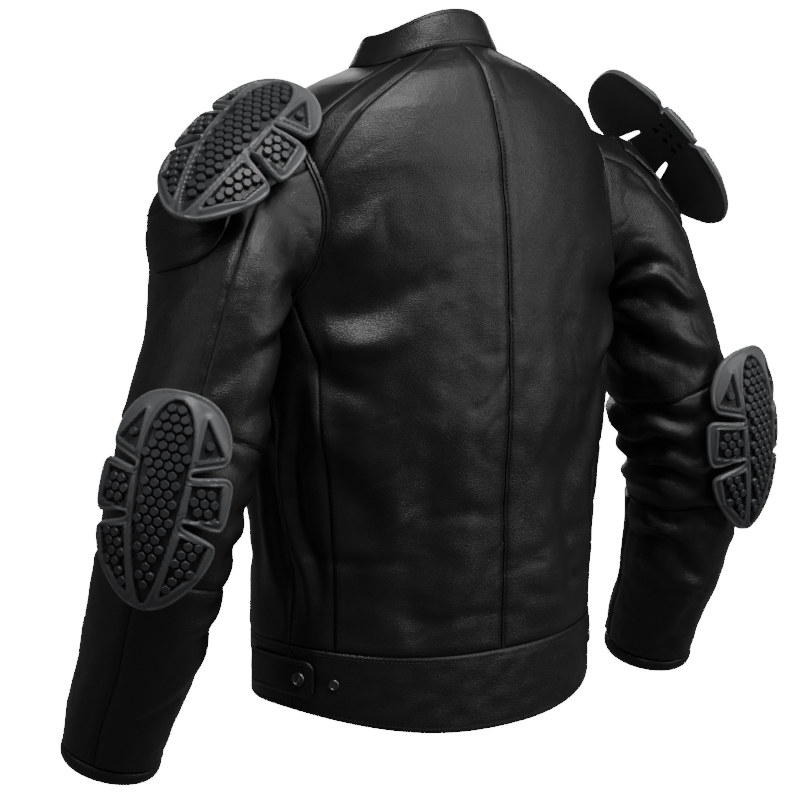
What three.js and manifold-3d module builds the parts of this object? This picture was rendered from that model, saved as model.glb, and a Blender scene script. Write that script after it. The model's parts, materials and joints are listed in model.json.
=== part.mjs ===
// A padded leather riding jacket with four moulded armour guards.
// Millimetres. +Z is up, the wearer faces -Y and the wearer's left is +X.
// The origin is the centre of the neck opening, level with the collar seam at the back.

import * as THREE from "three";
import { mergeVertices } from "three/addons/utils/BufferGeometryUtils.js";
import Module from "manifold-3d";

const wasm = await Module();
wasm.setup();

// ---- Driving dimensions ----

const leather = 3.0;            // outer leather with its padding
const liningThickness = 1.2;
const liningGap = 2.4;          // between leather and lining
const seamGap = 0.6;            // between two panels that are sewn together
const restGap = 0.3;            // between a piece and what it lies on

const neckHalfWidth = 76;
const neckBackDepth = 62;
const neckFrontDepth = 60;
const neckSideDrop = 20;
const neckFrontDrop = 48;
const chestHalfWidth = 207;
const chestBackDepth = 128;
const chestFrontDepth = 122;
const waistHalfWidth = 182;
const waistBackDepth = 120;
const waistFrontDepth = 114;
const bodyLength = 560;         // collar seam to waistband seam, at the back
const bandHeight = 74;          // waistband, at the back
const bandHeightFront = 60;
const squareness = 2.25;        // 2 is an ellipse, more is squarer

const collarHeight = 33;
const collarLean = 14;
const collarFrontHeight = 24;
const frontOpening = 11;        // from the middle of the front to each front edge

const armholeHeight = 90;       // half-height of the armhole
const armholeDepth = 74;        // half-depth of the armhole
const armholeDrop = 162;        // its centre, below the collar seam
const armholeEase = 0.3;        // the armhole's edge, outside the sleeve's head
const patchStand = 1.6;         // the padded patch above the sleeve
const elbowBend = new THREE.Vector3(312, 40, -396);
const cuffRadius = 45;
const cuffBandHeight = 16;
const elbowPanelReach = 58;     // the elbow panel, each way from the bend

const guardLength = 196;
const guardWidth = 136;
const guardThickness = 8;
const guardCurve = 82;          // radius across the guard
const guardArch = 250;          // radius along the guard

const snapRadius = 6.5;
const snapHeight = 3;
const waistTabStart = -12;      // turn about the body, degrees
const waistTabEnd = 23;
const waistSnap = 16.5;
const spareSnap = 31;
const waistTabDrop = 11;        // below the waistband's seam
const collarTabReach = 19;      // turn each way from the front, degrees
const tabHeight = 34;
const tabThickness = 4;

const tapeThickness = 1.6;
const tapeStand = 0.8;          // a pocket's or cuff's tape above the leather
const tapeEdge = 0.3;           // from the middle of the zip to the tape's inner edge
const pocketTapeWidth = 14;
const cuffTapeWidth = 12;
const sliderLength = 12;
const sliderWidth = 9;
const sliderHeight = 4;
const pullerLength = 34;
const pullerWidth = 7;
const pullerThickness = 1.6;
const sliderEase = 0.8;         // lets a straight slide pass over the curved tape

const rows = 12;                // levels of facets from waistband to collar

// ---- Materials ----

function finish(name, color, roughness, metalness) {
  return () => new THREE.MeshStandardMaterial({ name, color, roughness, metalness });
}
const leatherFinish = finish("leather", 0x111113, 0.42, 0);
const liningFinish = finish("lining", 0x16171a, 0.8, 0);
const guardFinish = finish("guard", 0x26282a, 0.5, 0);
const tapeFinish = finish("zip_tape", 0x0c0c0d, 0.85, 0);
const metalFinish = finish("dark_metal", 0x303236, 0.35, 0.9);

// ---- Solids ----

function closedGeometry(geometry) {
  geometry.deleteAttribute("normal");
  geometry.deleteAttribute("uv");
  geometry.clearGroups();
  return mergeVertices(geometry, 1e-4);
}

function toManifold(geometry) {
  const closed = closedGeometry(geometry);
  return new wasm.Manifold(new wasm.Mesh({
    numProp: 3,
    vertProperties: new Float32Array(closed.attributes.position.array),
    triVerts: new Uint32Array(closed.index.array),
  }));
}

function fromManifold(solid) {
  const mesh = solid.getMesh();
  const geometry = new THREE.BufferGeometry();
  geometry.setAttribute("position", new THREE.BufferAttribute(mesh.vertProperties, 3));
  geometry.setIndex(new THREE.BufferAttribute(mesh.triVerts, 1));
  return geometry;
}

function cut(geometry, ...cutters) {
  let solid = toManifold(geometry);
  for (const cutter of cutters) solid = solid.subtract(cutter);
  const kept = solid.decompose().sort((a, b) => b.volume() - a.volume())[0];
  return fromManifold(kept);
}

function common(first, second) {
  return fromManifold(toManifold(first).intersect(toManifold(second)));
}

// Bends a box over a surface. place(u, v) gives a point, with u and v from 0 to 1.
function bentSheet(place, columns, sheetRows, thickness, depth = 0) {
  const geometry = new THREE.BoxGeometry(1, 1, 1, columns, sheetRows, 1);
  return bend(geometry, place, thickness, depth);
}

// Bends a square-section ring over a surface that closes on itself.
function bentRing(place, columns, sheetRows, thickness, depth = 0) {
  const profile = [];
  for (let i = 0; i <= sheetRows; i += 1) profile.push(new THREE.Vector2(1.5, i / sheetRows - 0.5));
  for (let i = sheetRows; i >= 0; i -= 1) profile.push(new THREE.Vector2(0.5, i / sheetRows - 0.5));
  profile.push(profile[0].clone());
  const ring = new THREE.LatheGeometry(profile, columns);
  const position = ring.attributes.position;
  for (let i = 0; i < position.count; i += 1) {
    const x = position.getX(i);
    const z = position.getZ(i);
    const turn = (Math.atan2(x, z) / (2 * Math.PI) + 1) % 1;
    position.setXYZ(i, turn - 0.5, position.getY(i), Math.hypot(x, z) - 1);
  }
  return bend(ring, place, thickness, depth);
}

function bend(geometry, place, thickness, depth) {
  const position = geometry.attributes.position;
  const step = 1e-3;
  for (let i = 0; i < position.count; i += 1) {
    const u = position.getX(i) + 0.5;
    const v = position.getY(i) + 0.5;
    const point = place(u, v);
    const across = place(u + step, v).sub(place(u - step, v));
    const up = place(u, v + step).sub(place(u, v - step));
    const outward = across.cross(up).normalize();
    const reach = (position.getZ(i) - 0.5) * thickness - depth;
    point.addScaledVector(outward, reach);
    position.setXYZ(i, point.x, point.y, point.z);
  }
  return closedGeometry(geometry);
}

// ---- The scene graph ----

const jacket = new THREE.Group();
const rightHalf = new THREE.Group();
rightHalf.scale.x = -1;
jacket.add(rightHalf);

function addPiece(name, geometry, material, parent = jacket) {
  const mesh = new THREE.Mesh(geometry, material());
  mesh.name = name;
  parent.add(mesh);
  return mesh;
}

function addPair(name, geometry, material) {
  addPiece(`${name}_left`, geometry, material);
  addPiece(`${name}_right`, geometry.clone(), material, rightHalf);
}

// ---- The body's surface ----

// From the waistband seam (0) to the collar seam (1): half-width, back depth, front depth.
const bodyWidths = new THREE.CatmullRomCurve3([
  new THREE.Vector3(waistHalfWidth, waistBackDepth, waistFrontDepth),
  new THREE.Vector3(waistHalfWidth, waistBackDepth, waistFrontDepth),
  new THREE.Vector3(waistHalfWidth + 6, waistBackDepth + 2, waistFrontDepth),
  new THREE.Vector3(chestHalfWidth - 6, chestBackDepth, chestFrontDepth),
  new THREE.Vector3(chestHalfWidth, chestBackDepth, chestFrontDepth),
  new THREE.Vector3(chestHalfWidth, chestBackDepth - 4, neckFrontDepth + 53),
  new THREE.Vector3(chestHalfWidth - 8, chestBackDepth - 12, neckFrontDepth + 36),
  new THREE.Vector3(chestHalfWidth - 34, chestBackDepth - 26, neckFrontDepth + 22),
  new THREE.Vector3(neckHalfWidth + 52, neckBackDepth + 24, neckFrontDepth + 9),
  new THREE.Vector3(neckHalfWidth, neckBackDepth, neckFrontDepth),
]);
// The same levels: height at the side, at the back and at the front, as shares of the length.
const bodyHeights = new THREE.CatmullRomCurve3([
  new THREE.Vector3(-bodyLength + 14, -bodyLength, -bodyLength + 20),
  new THREE.Vector3(-bodyLength * 0.86, -bodyLength * 0.87, -bodyLength * 0.86),
  new THREE.Vector3(-bodyLength * 0.74, -bodyLength * 0.745, -bodyLength * 0.75),
  new THREE.Vector3(-bodyLength * 0.6, -bodyLength * 0.6, -bodyLength * 0.62),
  new THREE.Vector3(-bodyLength * 0.47, -bodyLength * 0.46, -bodyLength * 0.5),
  new THREE.Vector3(-bodyLength * 0.33, -bodyLength * 0.31, -bodyLength * 0.39),
  new THREE.Vector3(-bodyLength * 0.205, -bodyLength * 0.18, -bodyLength * 0.295),
  new THREE.Vector3(-bodyLength * 0.115, -bodyLength * 0.09, -bodyLength * 0.21),
  new THREE.Vector3(-bodyLength * 0.065, -bodyLength * 0.035, -bodyLength * 0.14),
  new THREE.Vector3(-neckSideDrop, 0, -neckFrontDrop),
]);

// Turn is in degrees: 0 is the wearer's left, 90 the back and -90 the front.
function ringPoint(turn, widths, heights) {
  const angle = THREE.MathUtils.degToRad(turn);
  const c = Math.cos(angle);
  const s = Math.sin(angle);
  const power = 2 / squareness;
  const deep = s > 0 ? widths.y : widths.z;
  const low = s > 0 ? heights.y : heights.z;
  return new THREE.Vector3(
    Math.sign(c) * Math.abs(c) ** power * widths.x,
    Math.sign(s) * Math.abs(s) ** power * deep,
    heights.x + (low - heights.x) * s * s,
  );
}

function bodyPoint(turn, level) {
  const clamped = THREE.MathUtils.clamp(level, 0, 1);
  return ringPoint(turn, bodyWidths.getPoint(clamped), bodyHeights.getPoint(clamped));
}

// Past an end the surface runs straight on, so its slope is right at the edges.
function bodySurface(turn, level) {
  const edge = THREE.MathUtils.clamp(level, 0, 1);
  if (edge === level) return bodyPoint(turn, level);
  const inside = bodyPoint(turn, 2 * edge - level);
  return bodyPoint(turn, edge).multiplyScalar(2).sub(inside);
}

// A gap in millimetres as degrees of turn, where it is measured.
function gapTurn(turn, level, gap) {
  const width = bodyPoint(turn + 0.5, level).distanceTo(bodyPoint(turn - 0.5, level));
  return gap / width;
}

// ---- Seams of the body: turn against level ----

const sideSeam = 10;
const backSideSeam = 31;
const yokeBottom = 6 / rows;
const sideTop = 5 / rows;

function between(level, low, high) {
  return THREE.MathUtils.clamp((level - low) / (high - low), 0, 1);
}
// The seam between the back and the shoulder strip.
function backYokeSeam(level) {
  return backSideSeam - 9 + (66 - backSideSeam + 9) * between(level, yokeBottom, 1) ** 1.25;
}
// The seam between the shoulder strip and the front.
function frontYokeSeam(level) {
  return sideSeam - 4 + (41 - sideSeam + 4) * between(level, yokeBottom, 1) ** 0.9;
}

function bodyPanel(from, to, bottom, top, columns, depth = 0, thickness = leather) {
  const levels = Math.round((top - bottom) * rows);
  return bentSheet((u, v) => {
    const level = bottom + (top - bottom) * v;
    const rim = THREE.MathUtils.clamp(level, 0, 1);
    const left = from(rim) + gapTurn(from(rim), rim, seamGap / 2);
    const right = to(rim) - gapTurn(to(rim), rim, seamGap / 2);
    return bodySurface(left + (right - left) * u, level);
  }, columns, levels, thickness, depth);
}

// ---- Armhole ----

function armholeCutter(grow) {
  const outline = new THREE.Shape();
  outline.absellipse(0, 0, armholeDepth + grow, armholeHeight + grow, 0, 2 * Math.PI);
  const prism = new THREE.ExtrudeGeometry(outline, { depth: 200, bevelEnabled: false, curveSegments: 24 });
  prism.rotateX(Math.PI / 2);
  prism.rotateZ(Math.PI / 2);
  prism.translate(120, 0, -armholeDrop);
  return prism;
}
const armhole = toManifold(armholeCutter(armholeEase));

// Where the body's surface has the given depth and height on the wearer's left.
function bodyPointAt(y, z) {
  let turn = THREE.MathUtils.radToDeg(Math.asin(THREE.MathUtils.clamp(y / chestBackDepth, -0.9, 0.9)));
  let level = 0.5 + (z + armholeDrop) / bodyLength;
  const step = 1e-3;
  for (let i = 0; i < 40; i += 1) {
    const here = bodyPoint(turn, level);
    const dTurn = bodyPoint(turn + step, level).sub(here).divideScalar(step);
    const dLevel = bodyPoint(turn, level + step).sub(here).divideScalar(step);
    const det = dTurn.y * dLevel.z - dLevel.y * dTurn.z;
    const errorY = y - here.y;
    const errorZ = z - here.z;
    turn += 0.6 * (errorY * dLevel.z - dLevel.y * errorZ) / det;
    level += 0.6 * (dTurn.y * errorZ - errorY * dTurn.z) / det;
    level = THREE.MathUtils.clamp(level, 0.2, 0.97);
  }
  return bodyPoint(turn, level);
}

// ---- The sleeve's surface ----

// From cuff to shoulder: each ring's centre, its half-width, its half-depth, and how far its outer
// side is raised, in degrees.
function armRing(x, y, z, halfWidth, halfDepth, raise) {
  return { centre: new THREE.Vector3(x, y, z), halfWidth, halfDepth, raise };
}
const elbowRing = 4;
const armRings = [
  armRing(338, -34, -641, cuffRadius, cuffRadius, 3),
  armRing(336, -20, -598, cuffRadius + 4, cuffRadius + 4, 5),
  armRing(331, 9, -535, cuffRadius + 9, cuffRadius + 9, 8),
  armRing(325, 28, -468, cuffRadius + 13, cuffRadius + 13, 12),
  armRing(elbowBend.x, elbowBend.y, elbowBend.z, cuffRadius + 17, cuffRadius + 17, 17),
  armRing(287, 36, -328, cuffRadius + 18, cuffRadius + 20, 20),
  armRing(268, 31, -264, cuffRadius + 10, cuffRadius + 23, 22),
  armRing(253, 25, -216, cuffRadius + 11, cuffRadius + 26, 36),
  armRing(237, 10, -179, cuffRadius + 29, cuffRadius + 29, 68),
];
const lastRing = armRings.length - 1;

function armDirection(index) {
  const low = armRings[Math.max(0, index - 1)].centre;
  const high = armRings[Math.min(lastRing, index + 1)].centre;
  return high.clone().sub(low).normalize();
}

// A point on one ring. Turn 0 is the outer side, 90 the back and 180 the inner side.
function armRingPoint(index, turn) {
  const angle = THREE.MathUtils.degToRad(turn);
  const ring = armRings[index];
  const raise = THREE.MathUtils.degToRad(ring.raise);
  const outer = new THREE.Vector3(Math.cos(raise), 0, Math.sin(raise));
  const rear = armDirection(index).cross(outer).normalize();
  return ring.centre.clone()
    .addScaledVector(outer, ring.halfWidth * Math.cos(angle))
    .addScaledVector(rear, ring.halfDepth * Math.sin(angle));
}

function headPoint(turn) {
  const angle = THREE.MathUtils.degToRad(turn);
  const y = (armholeDepth - restGap) * Math.sin(angle);
  const z = (armholeHeight - restGap) * Math.cos(angle) - armholeDrop;
  return bodyPointAt(y, z);
}

const sleeveCurves = new Map();
function sleeveCurve(turn) {
  const key = Math.round((((turn % 360) + 360) % 360) * 1000);
  if (!sleeveCurves.has(key)) {
    const points = armRings.map((_, index) => armRingPoint(index, turn));
    points.push(headPoint(turn));
    sleeveCurves.set(key, new THREE.CatmullRomCurve3(points));
  }
  return sleeveCurves.get(key);
}

function sleevePoint(turn, level) {
  const edge = THREE.MathUtils.clamp(level, 0, 1);
  if (edge === level) return sleeveCurve(turn).getPoint(level);
  const inside = sleeveCurve(turn).getPoint(2 * edge - level);
  return sleeveCurve(turn).getPoint(edge).multiplyScalar(2).sub(inside);
}

const ringSpan = 1 / (lastRing + 1);
const elbowLevel = elbowRing * ringSpan;
const elbowBottom = elbowLevel - ringSpan * elbowPanelReach / 72;
const elbowTop = elbowLevel + ringSpan * elbowPanelReach / 72;
const cuffTop = ringSpan * cuffBandHeight / 50;

function sleeveSpan(from, to, bottom, top) {
  const inset = THREE.MathUtils.radToDeg(seamGap / 2 / 55);
  const lift = (seamGap / 2) * ringSpan / 70;
  return (u, v) => sleevePoint(
    from + inset + (to - from - 2 * inset) * u,
    bottom + lift + (top - bottom - 2 * lift) * v,
  );
}
function sleeveRing(bottom, top) {
  const lift = (seamGap / 2) * ringSpan / 70;
  return (u, v) => sleevePoint(360 * u, bottom + lift + (top - bottom - 2 * lift) * v);
}

// ---- Body panels ----

const fixed = (turn) => () => turn;
const frontEdge = (level) => {
  const depth = bodyWidths.getPoint(level).x;
  const power = squareness / 2;
  return -90 + THREE.MathUtils.radToDeg(Math.asin((frontOpening / depth) ** power));
};
const backSeamAt = (level) => (level < yokeBottom ? backSideSeam : backYokeSeam(level));
const frontSeamAt = (level) => (level < yokeBottom ? sideSeam : frontYokeSeam(level));

addPair("back_panel", cut(bodyPanel(backSeamAt, fixed(90), 0, 1, 6), armhole), leatherFinish);
const sidePanel = bodyPanel(fixed(sideSeam), fixed(backSideSeam), 0, sideTop, 2);
addPair("side_panel", cut(sidePanel, armhole), leatherFinish);
addPair("front_panel", cut(bodyPanel(frontEdge, frontSeamAt, 0, 1, 9), armhole), leatherFinish);
const stripPanel = bodyPanel(frontYokeSeam, backYokeSeam, yokeBottom, 1, 2);
addPair("shoulder_strip", cut(stripPanel, armhole), leatherFinish);

const liningDepth = leather + liningGap;
addPair(
  "body_lining",
  cut(
    bodyPanel((level) => frontEdge(level) + 2, fixed(89.8), 0, 1, 14, liningDepth, liningThickness),
    armhole,
  ),
  liningFinish,
);

// ---- Waistband ----

function bandSurface(turn, share) {
  const seam = bodyPoint(turn, 0);
  const s = Math.sin(THREE.MathUtils.degToRad(turn));
  const drop = bandHeightFront + (bandHeight - bandHeightFront) * Math.max(0, s) ** 2;
  return new THREE.Vector3(seam.x, seam.y, seam.z - restGap * 2 - drop * (1 - share));
}
function bandPiece(from, to, columns) {
  return bentSheet((u, v) => {
    const inset = gapTurn(from, 0, seamGap / 2);
    return bandSurface(from + inset + (to - from - 2 * inset) * u, v);
  }, columns, 2, leather + 1);
}
addPiece("waistband_back", bandPiece(sideSeam, 180 - sideSeam, 14), leatherFinish);
addPair("waistband_front", bandPiece(frontEdge(0), sideSeam, 8), leatherFinish);

// ---- Collar ----

function collarSurface(turn, share) {
  const seam = bodyPoint(turn, 1);
  const lean = 1 - (collarLean / neckHalfWidth) * share;
  const rear = (1 + Math.sin(THREE.MathUtils.degToRad(turn))) / 2;
  const height = collarFrontHeight + (collarHeight - collarFrontHeight) * rear;
  return new THREE.Vector3(seam.x * lean, seam.y * lean, seam.z + restGap * 3 + height * share);
}
const collarStart = frontEdge(1) + 2.5;
addPiece("collar", bentSheet(
  (u, v) => collarSurface(collarStart + (180 - 2 * collarStart) * u, v),
  24,
  2,
  leather + 1,
), leatherFinish);

// ---- Hanger loop: a short strap across the inside of the neck ----

const loopWidth = 60;
const loopThickness = 1.6;
const loopInset = 15;
const loopPath = new THREE.CatmullRomCurve3([
  new THREE.Vector3(-loopWidth / 2, neckBackDepth - loopInset, 8),
  new THREE.Vector3(-loopWidth / 4, neckBackDepth - loopInset - 4, 1),
  new THREE.Vector3(0, neckBackDepth - loopInset - 5, -2),
  new THREE.Vector3(loopWidth / 4, neckBackDepth - loopInset - 4, 1),
  new THREE.Vector3(loopWidth / 2, neckBackDepth - loopInset, 8),
]);
const loopSection = new THREE.Shape();
loopSection.moveTo(-3, -loopThickness / 2);
loopSection.lineTo(3, -loopThickness / 2);
loopSection.lineTo(3, loopThickness / 2);
loopSection.lineTo(-3, loopThickness / 2);
addPiece(
  "hanger_loop",
  new THREE.ExtrudeGeometry(loopSection, { steps: 10, extrudePath: loopPath, bevelEnabled: false }),
  leatherFinish,
);

// ---- Sleeves ----

const rearSeam = 52;
const frontSeam = -58;
const forearmRear = 37;
const forearmFront = 205;

const outerSpan = sleeveSpan(frontSeam, rearSeam, elbowTop, 1);
const underSpan = sleeveSpan(rearSeam, 360 + frontSeam, elbowTop, 1);
addPair("upper_sleeve_outer", bentSheet(outerSpan, 7, 9, leather), leatherFinish);
addPair("upper_sleeve_under", bentSheet(underSpan, 12, 9, leather), leatherFinish);
addPair("elbow_panel", bentRing(sleeveRing(elbowBottom, elbowTop), 18, 4, leather), leatherFinish);
const forearmSpan = sleeveSpan(forearmRear, forearmFront, cuffTop, elbowBottom);
addPair("forearm_rear", bentSheet(forearmSpan, 9, 6, leather), leatherFinish);
addPair("forearm_front", bentSheet(
  sleeveSpan(forearmFront, 360 + forearmRear, cuffTop, elbowBottom),
  10,
  6,
  leather,
), leatherFinish);
addPair("cuff_binding", bentRing(sleeveRing(0, cuffTop), 18, 1, leather), leatherFinish);
const sleeveLiningDepth = liningDepth + 1.8;
const sleeveLining = bentRing(sleeveRing(0.01, 0.82), 18, 12, liningThickness, sleeveLiningDepth);
addPair("sleeve_lining", sleeveLining, liningFinish);

// ---- Padded shoulder patch, sewn on the outer sleeve under the guard ----

const patchBottom = 7 * ringSpan;
addPair("shoulder_patch", bentSheet((u, v) => {
  const turn = -46 + 84 * u;
  const droop = 0.018 * Math.sin(Math.PI * u);
  return sleevePoint(turn, patchBottom - droop + (0.93 - patchBottom + droop) * v);
}, 8, 4, leather, -leather - patchStand), leatherFinish);

// ---- Guards ----

function guardOutline() {
  const outline = new THREE.Shape();
  const half = guardWidth / 2;
  const tip = guardLength / 2;
  const side = [
    [0, tip], [0.3 * half, 0.985 * tip], [0.66 * half, 0.82 * tip], [0.8 * half, 0.62 * tip],
    [0.82 * half, 0.42 * tip], [0.72 * half, 0.36 * tip], [0.4 * half, 0.3 * tip],
    [0.4 * half, 0.26 * tip], [0.86 * half, 0.3 * tip], [half, 0.22 * tip],
    [half, -0.08 * tip], [0.86 * half, -0.22 * tip], [0.4 * half, -0.14 * tip],
    [0.4 * half, -0.19 * tip], [0.84 * half, -0.34 * tip], [0.82 * half, -0.5 * tip],
    [0.58 * half, -0.78 * tip], [0.26 * half, -0.96 * tip], [0, -tip],
  ];
  side.forEach(([x, y], index) => (index ? outline.lineTo(x, y) : outline.moveTo(x, y)));
  for (let i = side.length - 2; i > 0; i -= 1) outline.lineTo(-side[i][0], side[i][1]);
  outline.closePath();
  return outline;
}

// The guard's middle is at its own origin, its length is along Y and it bulges towards +Z.
function guardGeometry() {
  const plate = bentSheet((u, v) => {
    const x = (u - 0.5) * (guardWidth + 8);
    const y = (v - 0.5) * (guardLength + 8);
    const around = x / guardCurve;
    const arch = guardArch - Math.sqrt(guardArch ** 2 - y ** 2);
    return new THREE.Vector3(
      guardCurve * Math.sin(around),
      y,
      guardCurve * (Math.cos(around) - 1) - arch,
    );
  }, 6, 6, guardThickness);
  const prism = new THREE.ExtrudeGeometry(guardOutline(), { depth: 160, bevelEnabled: false });
  prism.translate(0, 0, -130);
  return common(plate, prism);
}
const guard = guardGeometry();

function addGuard(name, place, outward, lengthways, parent) {
  const mesh = addPiece(name, guard.clone(), guardFinish, parent);
  const z = outward.clone().normalize();
  const y = lengthways.clone().addScaledVector(z, -lengthways.dot(z)).normalize();
  const x = y.clone().cross(z);
  mesh.quaternion.setFromRotationMatrix(new THREE.Matrix4().makeBasis(x, y, z));
  mesh.position.copy(place);
}

function sleeveNormal(turn, level) {
  const step = 1e-3;
  const across = sleevePoint(turn + 1, level).sub(sleevePoint(turn - 1, level));
  const up = sleevePoint(turn, level + step).sub(sleevePoint(turn, level - step));
  return across.cross(up).normalize();
}
function addSleeveGuard(name, turn, level, stand, lengthways, shift, parent) {
  const outward = sleeveNormal(turn, level);
  const place = sleevePoint(turn, level).addScaledVector(outward, stand + guardThickness).add(shift);
  addGuard(name, place, outward, lengthways, parent);
}
const alongArm = armRings[elbowRing].centre.clone().sub(armRings[elbowRing - 1].centre);
const alongShoulder = new THREE.Vector3(-0.75, -0.1, 0.65);
const noShift = new THREE.Vector3();
addSleeveGuard("elbow_guard_left", 42, elbowLevel, 7.6, alongArm, noShift);
addSleeveGuard("elbow_guard_right", 82, elbowLevel, 10, alongArm, new THREE.Vector3(20, 6, 0), rightHalf);
addSleeveGuard("shoulder_guard_left", 20, 0.9, 23.3, alongShoulder, new THREE.Vector3(-7, 3, 8.5));
addGuard(
  "shoulder_guard_right",
  new THREE.Vector3(305.6, 30, -93),
  new THREE.Vector3(0.86, -0.02, 0.5),
  new THREE.Vector3(-0.35, -0.41, 0.84),
  rightHalf,
);

// ---- Snaps ----

// Lays a small piece on a surface: its Z axis points away from the surface and its Y axis up.
function layOn(mesh, place, outward, upward) {
  const z = outward.clone().normalize();
  const y = upward.clone().addScaledVector(z, -upward.dot(z)).normalize();
  const x = y.clone().cross(z);
  mesh.quaternion.setFromRotationMatrix(new THREE.Matrix4().makeBasis(x, y, z));
  mesh.position.copy(place);
}

function snapGeometry(radius, height) {
  const profile = [
    new THREE.Vector2(0, 0),
    new THREE.Vector2(radius, 0),
    new THREE.Vector2(radius, height * 0.5),
    new THREE.Vector2(radius * 0.8, height),
    new THREE.Vector2(0, height),
  ];
  const snap = new THREE.LatheGeometry(profile, 14);
  snap.rotateX(Math.PI / 2);
  return snap;
}

function surfaceNormal(surface, turn, share) {
  const across = surface(turn + 1, share).sub(surface(turn - 1, share));
  const up = surface(turn, share + 0.01).sub(surface(turn, share - 0.01));
  return across.cross(up).normalize();
}

const upward = new THREE.Vector3(0, 0, 1);
function addSnap(name, surface, turn, share, stand, radius, height, parent) {
  const outward = surfaceNormal(surface, turn, share);
  const place = surface(turn, share).addScaledVector(outward, stand);
  layOn(addPiece(name, snapGeometry(radius, height), metalFinish, parent), place, outward, upward);
}

// ---- Waist adjusters: a tab each side, closed by a snap ----

const tabLow = 1 - (waistTabDrop + tabHeight) / bandHeightFront;
const tabHigh = 1 - waistTabDrop / bandHeightFront;
const tabDepth = -tabThickness - restGap;
addPair("waist_tab", bentSheet(
  (u, v) => bandSurface(waistTabStart + (waistTabEnd - waistTabStart) * u, tabLow + (tabHigh - tabLow) * v),
  7,
  1,
  tabThickness,
  tabDepth,
), leatherFinish);
const snapShare = (tabLow + tabHigh) / 2;
const onTab = tabThickness + 2 * restGap;
addSnap("waist_snap_left", bandSurface, waistSnap, snapShare, onTab, snapRadius, snapHeight);
addSnap("waist_snap_right", bandSurface, waistSnap, snapShare, onTab, snapRadius, snapHeight, rightHalf);
const spareRadius = snapRadius - 1.5;
const spareHeight = snapHeight - 1;
addSnap("spare_snap_left", bandSurface, spareSnap, snapShare, restGap, spareRadius, spareHeight);
addSnap("spare_snap_right", bandSurface, spareSnap, snapShare, restGap, spareRadius, spareHeight, rightHalf);

// ---- Collar tab ----

addPiece("collar_tab", bentSheet(
  (u, v) => collarSurface(-90 - collarTabReach + 2 * collarTabReach * u, 0.2 + 0.65 * v),
  6,
  1,
  tabThickness,
  tabDepth,
), leatherFinish);
addSnap("collar_snap", collarSurface, -90 - collarTabReach * 0.6, 0.52, onTab, snapRadius, snapHeight);

// ---- Front zip ----

// The line down the middle of the front, from the hem (0) to the top of the collar (1).
const hemShare = 0.1;
const collarShare = 0.94;
function frontLine(share) {
  if (share < hemShare) return bandSurface(-90, share / hemShare);
  if (share > collarShare) return collarSurface(-90, (share - collarShare) / (1 - collarShare) * 0.9);
  return bodyPoint(-90, (share - hemShare) / (collarShare - hemShare));
}
const tapeShare = (v) => 0.004 + 0.99 * v;
addPair("front_zip_tape", bentSheet((u, v) => {
  const point = frontLine(tapeShare(THREE.MathUtils.clamp(v, 0, 1)));
  const beyond = v - THREE.MathUtils.clamp(v, 0, 1);
  point.x = tapeEdge + (frontOpening - 2 * tapeEdge) * u;
  point.z += beyond * bodyLength;
  return point;
}, 1, 22, tapeThickness, leather / 2), tapeFinish);

const sliderGeometry = new THREE.BoxGeometry(sliderWidth, sliderLength, sliderHeight);
sliderGeometry.translate(0, 0, sliderHeight / 2);
const pullerGeometry = new THREE.BoxGeometry(pullerWidth, pullerLength, pullerThickness);
pullerGeometry.translate(0, -pullerLength / 2, pullerThickness / 2);

// The slider faces outward and its Y axis points back along its travel.
function addSlider(name, place, outward, upwards, parent, hang = upwards) {
  const slider = addPiece(`${name}_slider`, sliderGeometry.clone(), metalFinish, parent);
  layOn(slider, place.clone().addScaledVector(outward, restGap), outward, upwards);
  const puller = addPiece(`${name}_puller`, pullerGeometry.clone(), metalFinish, parent);
  layOn(puller, place.clone().addScaledVector(outward, sliderHeight + 2 * restGap), outward, hang);
}

const slopeTop = bodyPoint(-90, 1);
const slopeFoot = bodyPoint(-90, 5 / 9);
const slope = slopeTop.clone().sub(slopeFoot).normalize();
const slopeOut = new THREE.Vector3(1, 0, 0).cross(slope).normalize();
const sliderPlace = slopeTop.clone().addScaledVector(slope, -18).addScaledVector(slopeOut, -1.4);
addSlider("front_zip", sliderPlace, slopeOut, slope);

// ---- Pocket zips and cuff zips ----

const pocketTurn = -50;
const pocketLow = 0.08;
const pocketHigh = 0.3;
function pocketSurface(offset, share) {
  const level = pocketLow + (pocketHigh - pocketLow) * share;
  return bodySurface(pocketTurn + gapTurn(pocketTurn, level, offset - pocketTapeWidth / 2), level);
}
const cuffTurn = 268;
const cuffLow = cuffTop + 0.012;
const cuffHigh = cuffTop + ringSpan * 1.9;
function cuffZipSurface(offset, share) {
  const level = cuffLow + (cuffHigh - cuffLow) * share;
  const turn = cuffTurn + THREE.MathUtils.radToDeg((offset - cuffTapeWidth / 2) / (cuffRadius + 4));
  return sleevePoint(turn, level);
}

function addZipPair(name, surface, width, startShare, endShare, ease) {
  for (const parent of [jacket, rightHalf]) {
    const side = parent === jacket ? "left" : "right";
    const tape = bentSheet((u, v) => surface(u * width, v), 2, 6, tapeThickness, -tapeThickness - tapeStand);
    addPiece(`${name}_zip_tape_${side}`, tape, tapeFinish, parent);
    const start = surface(width / 2, startShare);
    const end = surface(width / 2, endShare);
    const across = surface(width, startShare).sub(surface(0, startShare));
    const back = start.clone().sub(end).normalize();
    const outward = across.cross(back).multiplyScalar(endShare < startShare ? 1 : -1).normalize();
    const place = start.addScaledVector(outward, tapeThickness + tapeStand + ease);
    addSlider(`${name}_zip_${side}`, place, outward, back, parent, upward);
  }
}
addZipPair("pocket", pocketSurface, pocketTapeWidth, 0.9, 0.35, sliderEase);
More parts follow.
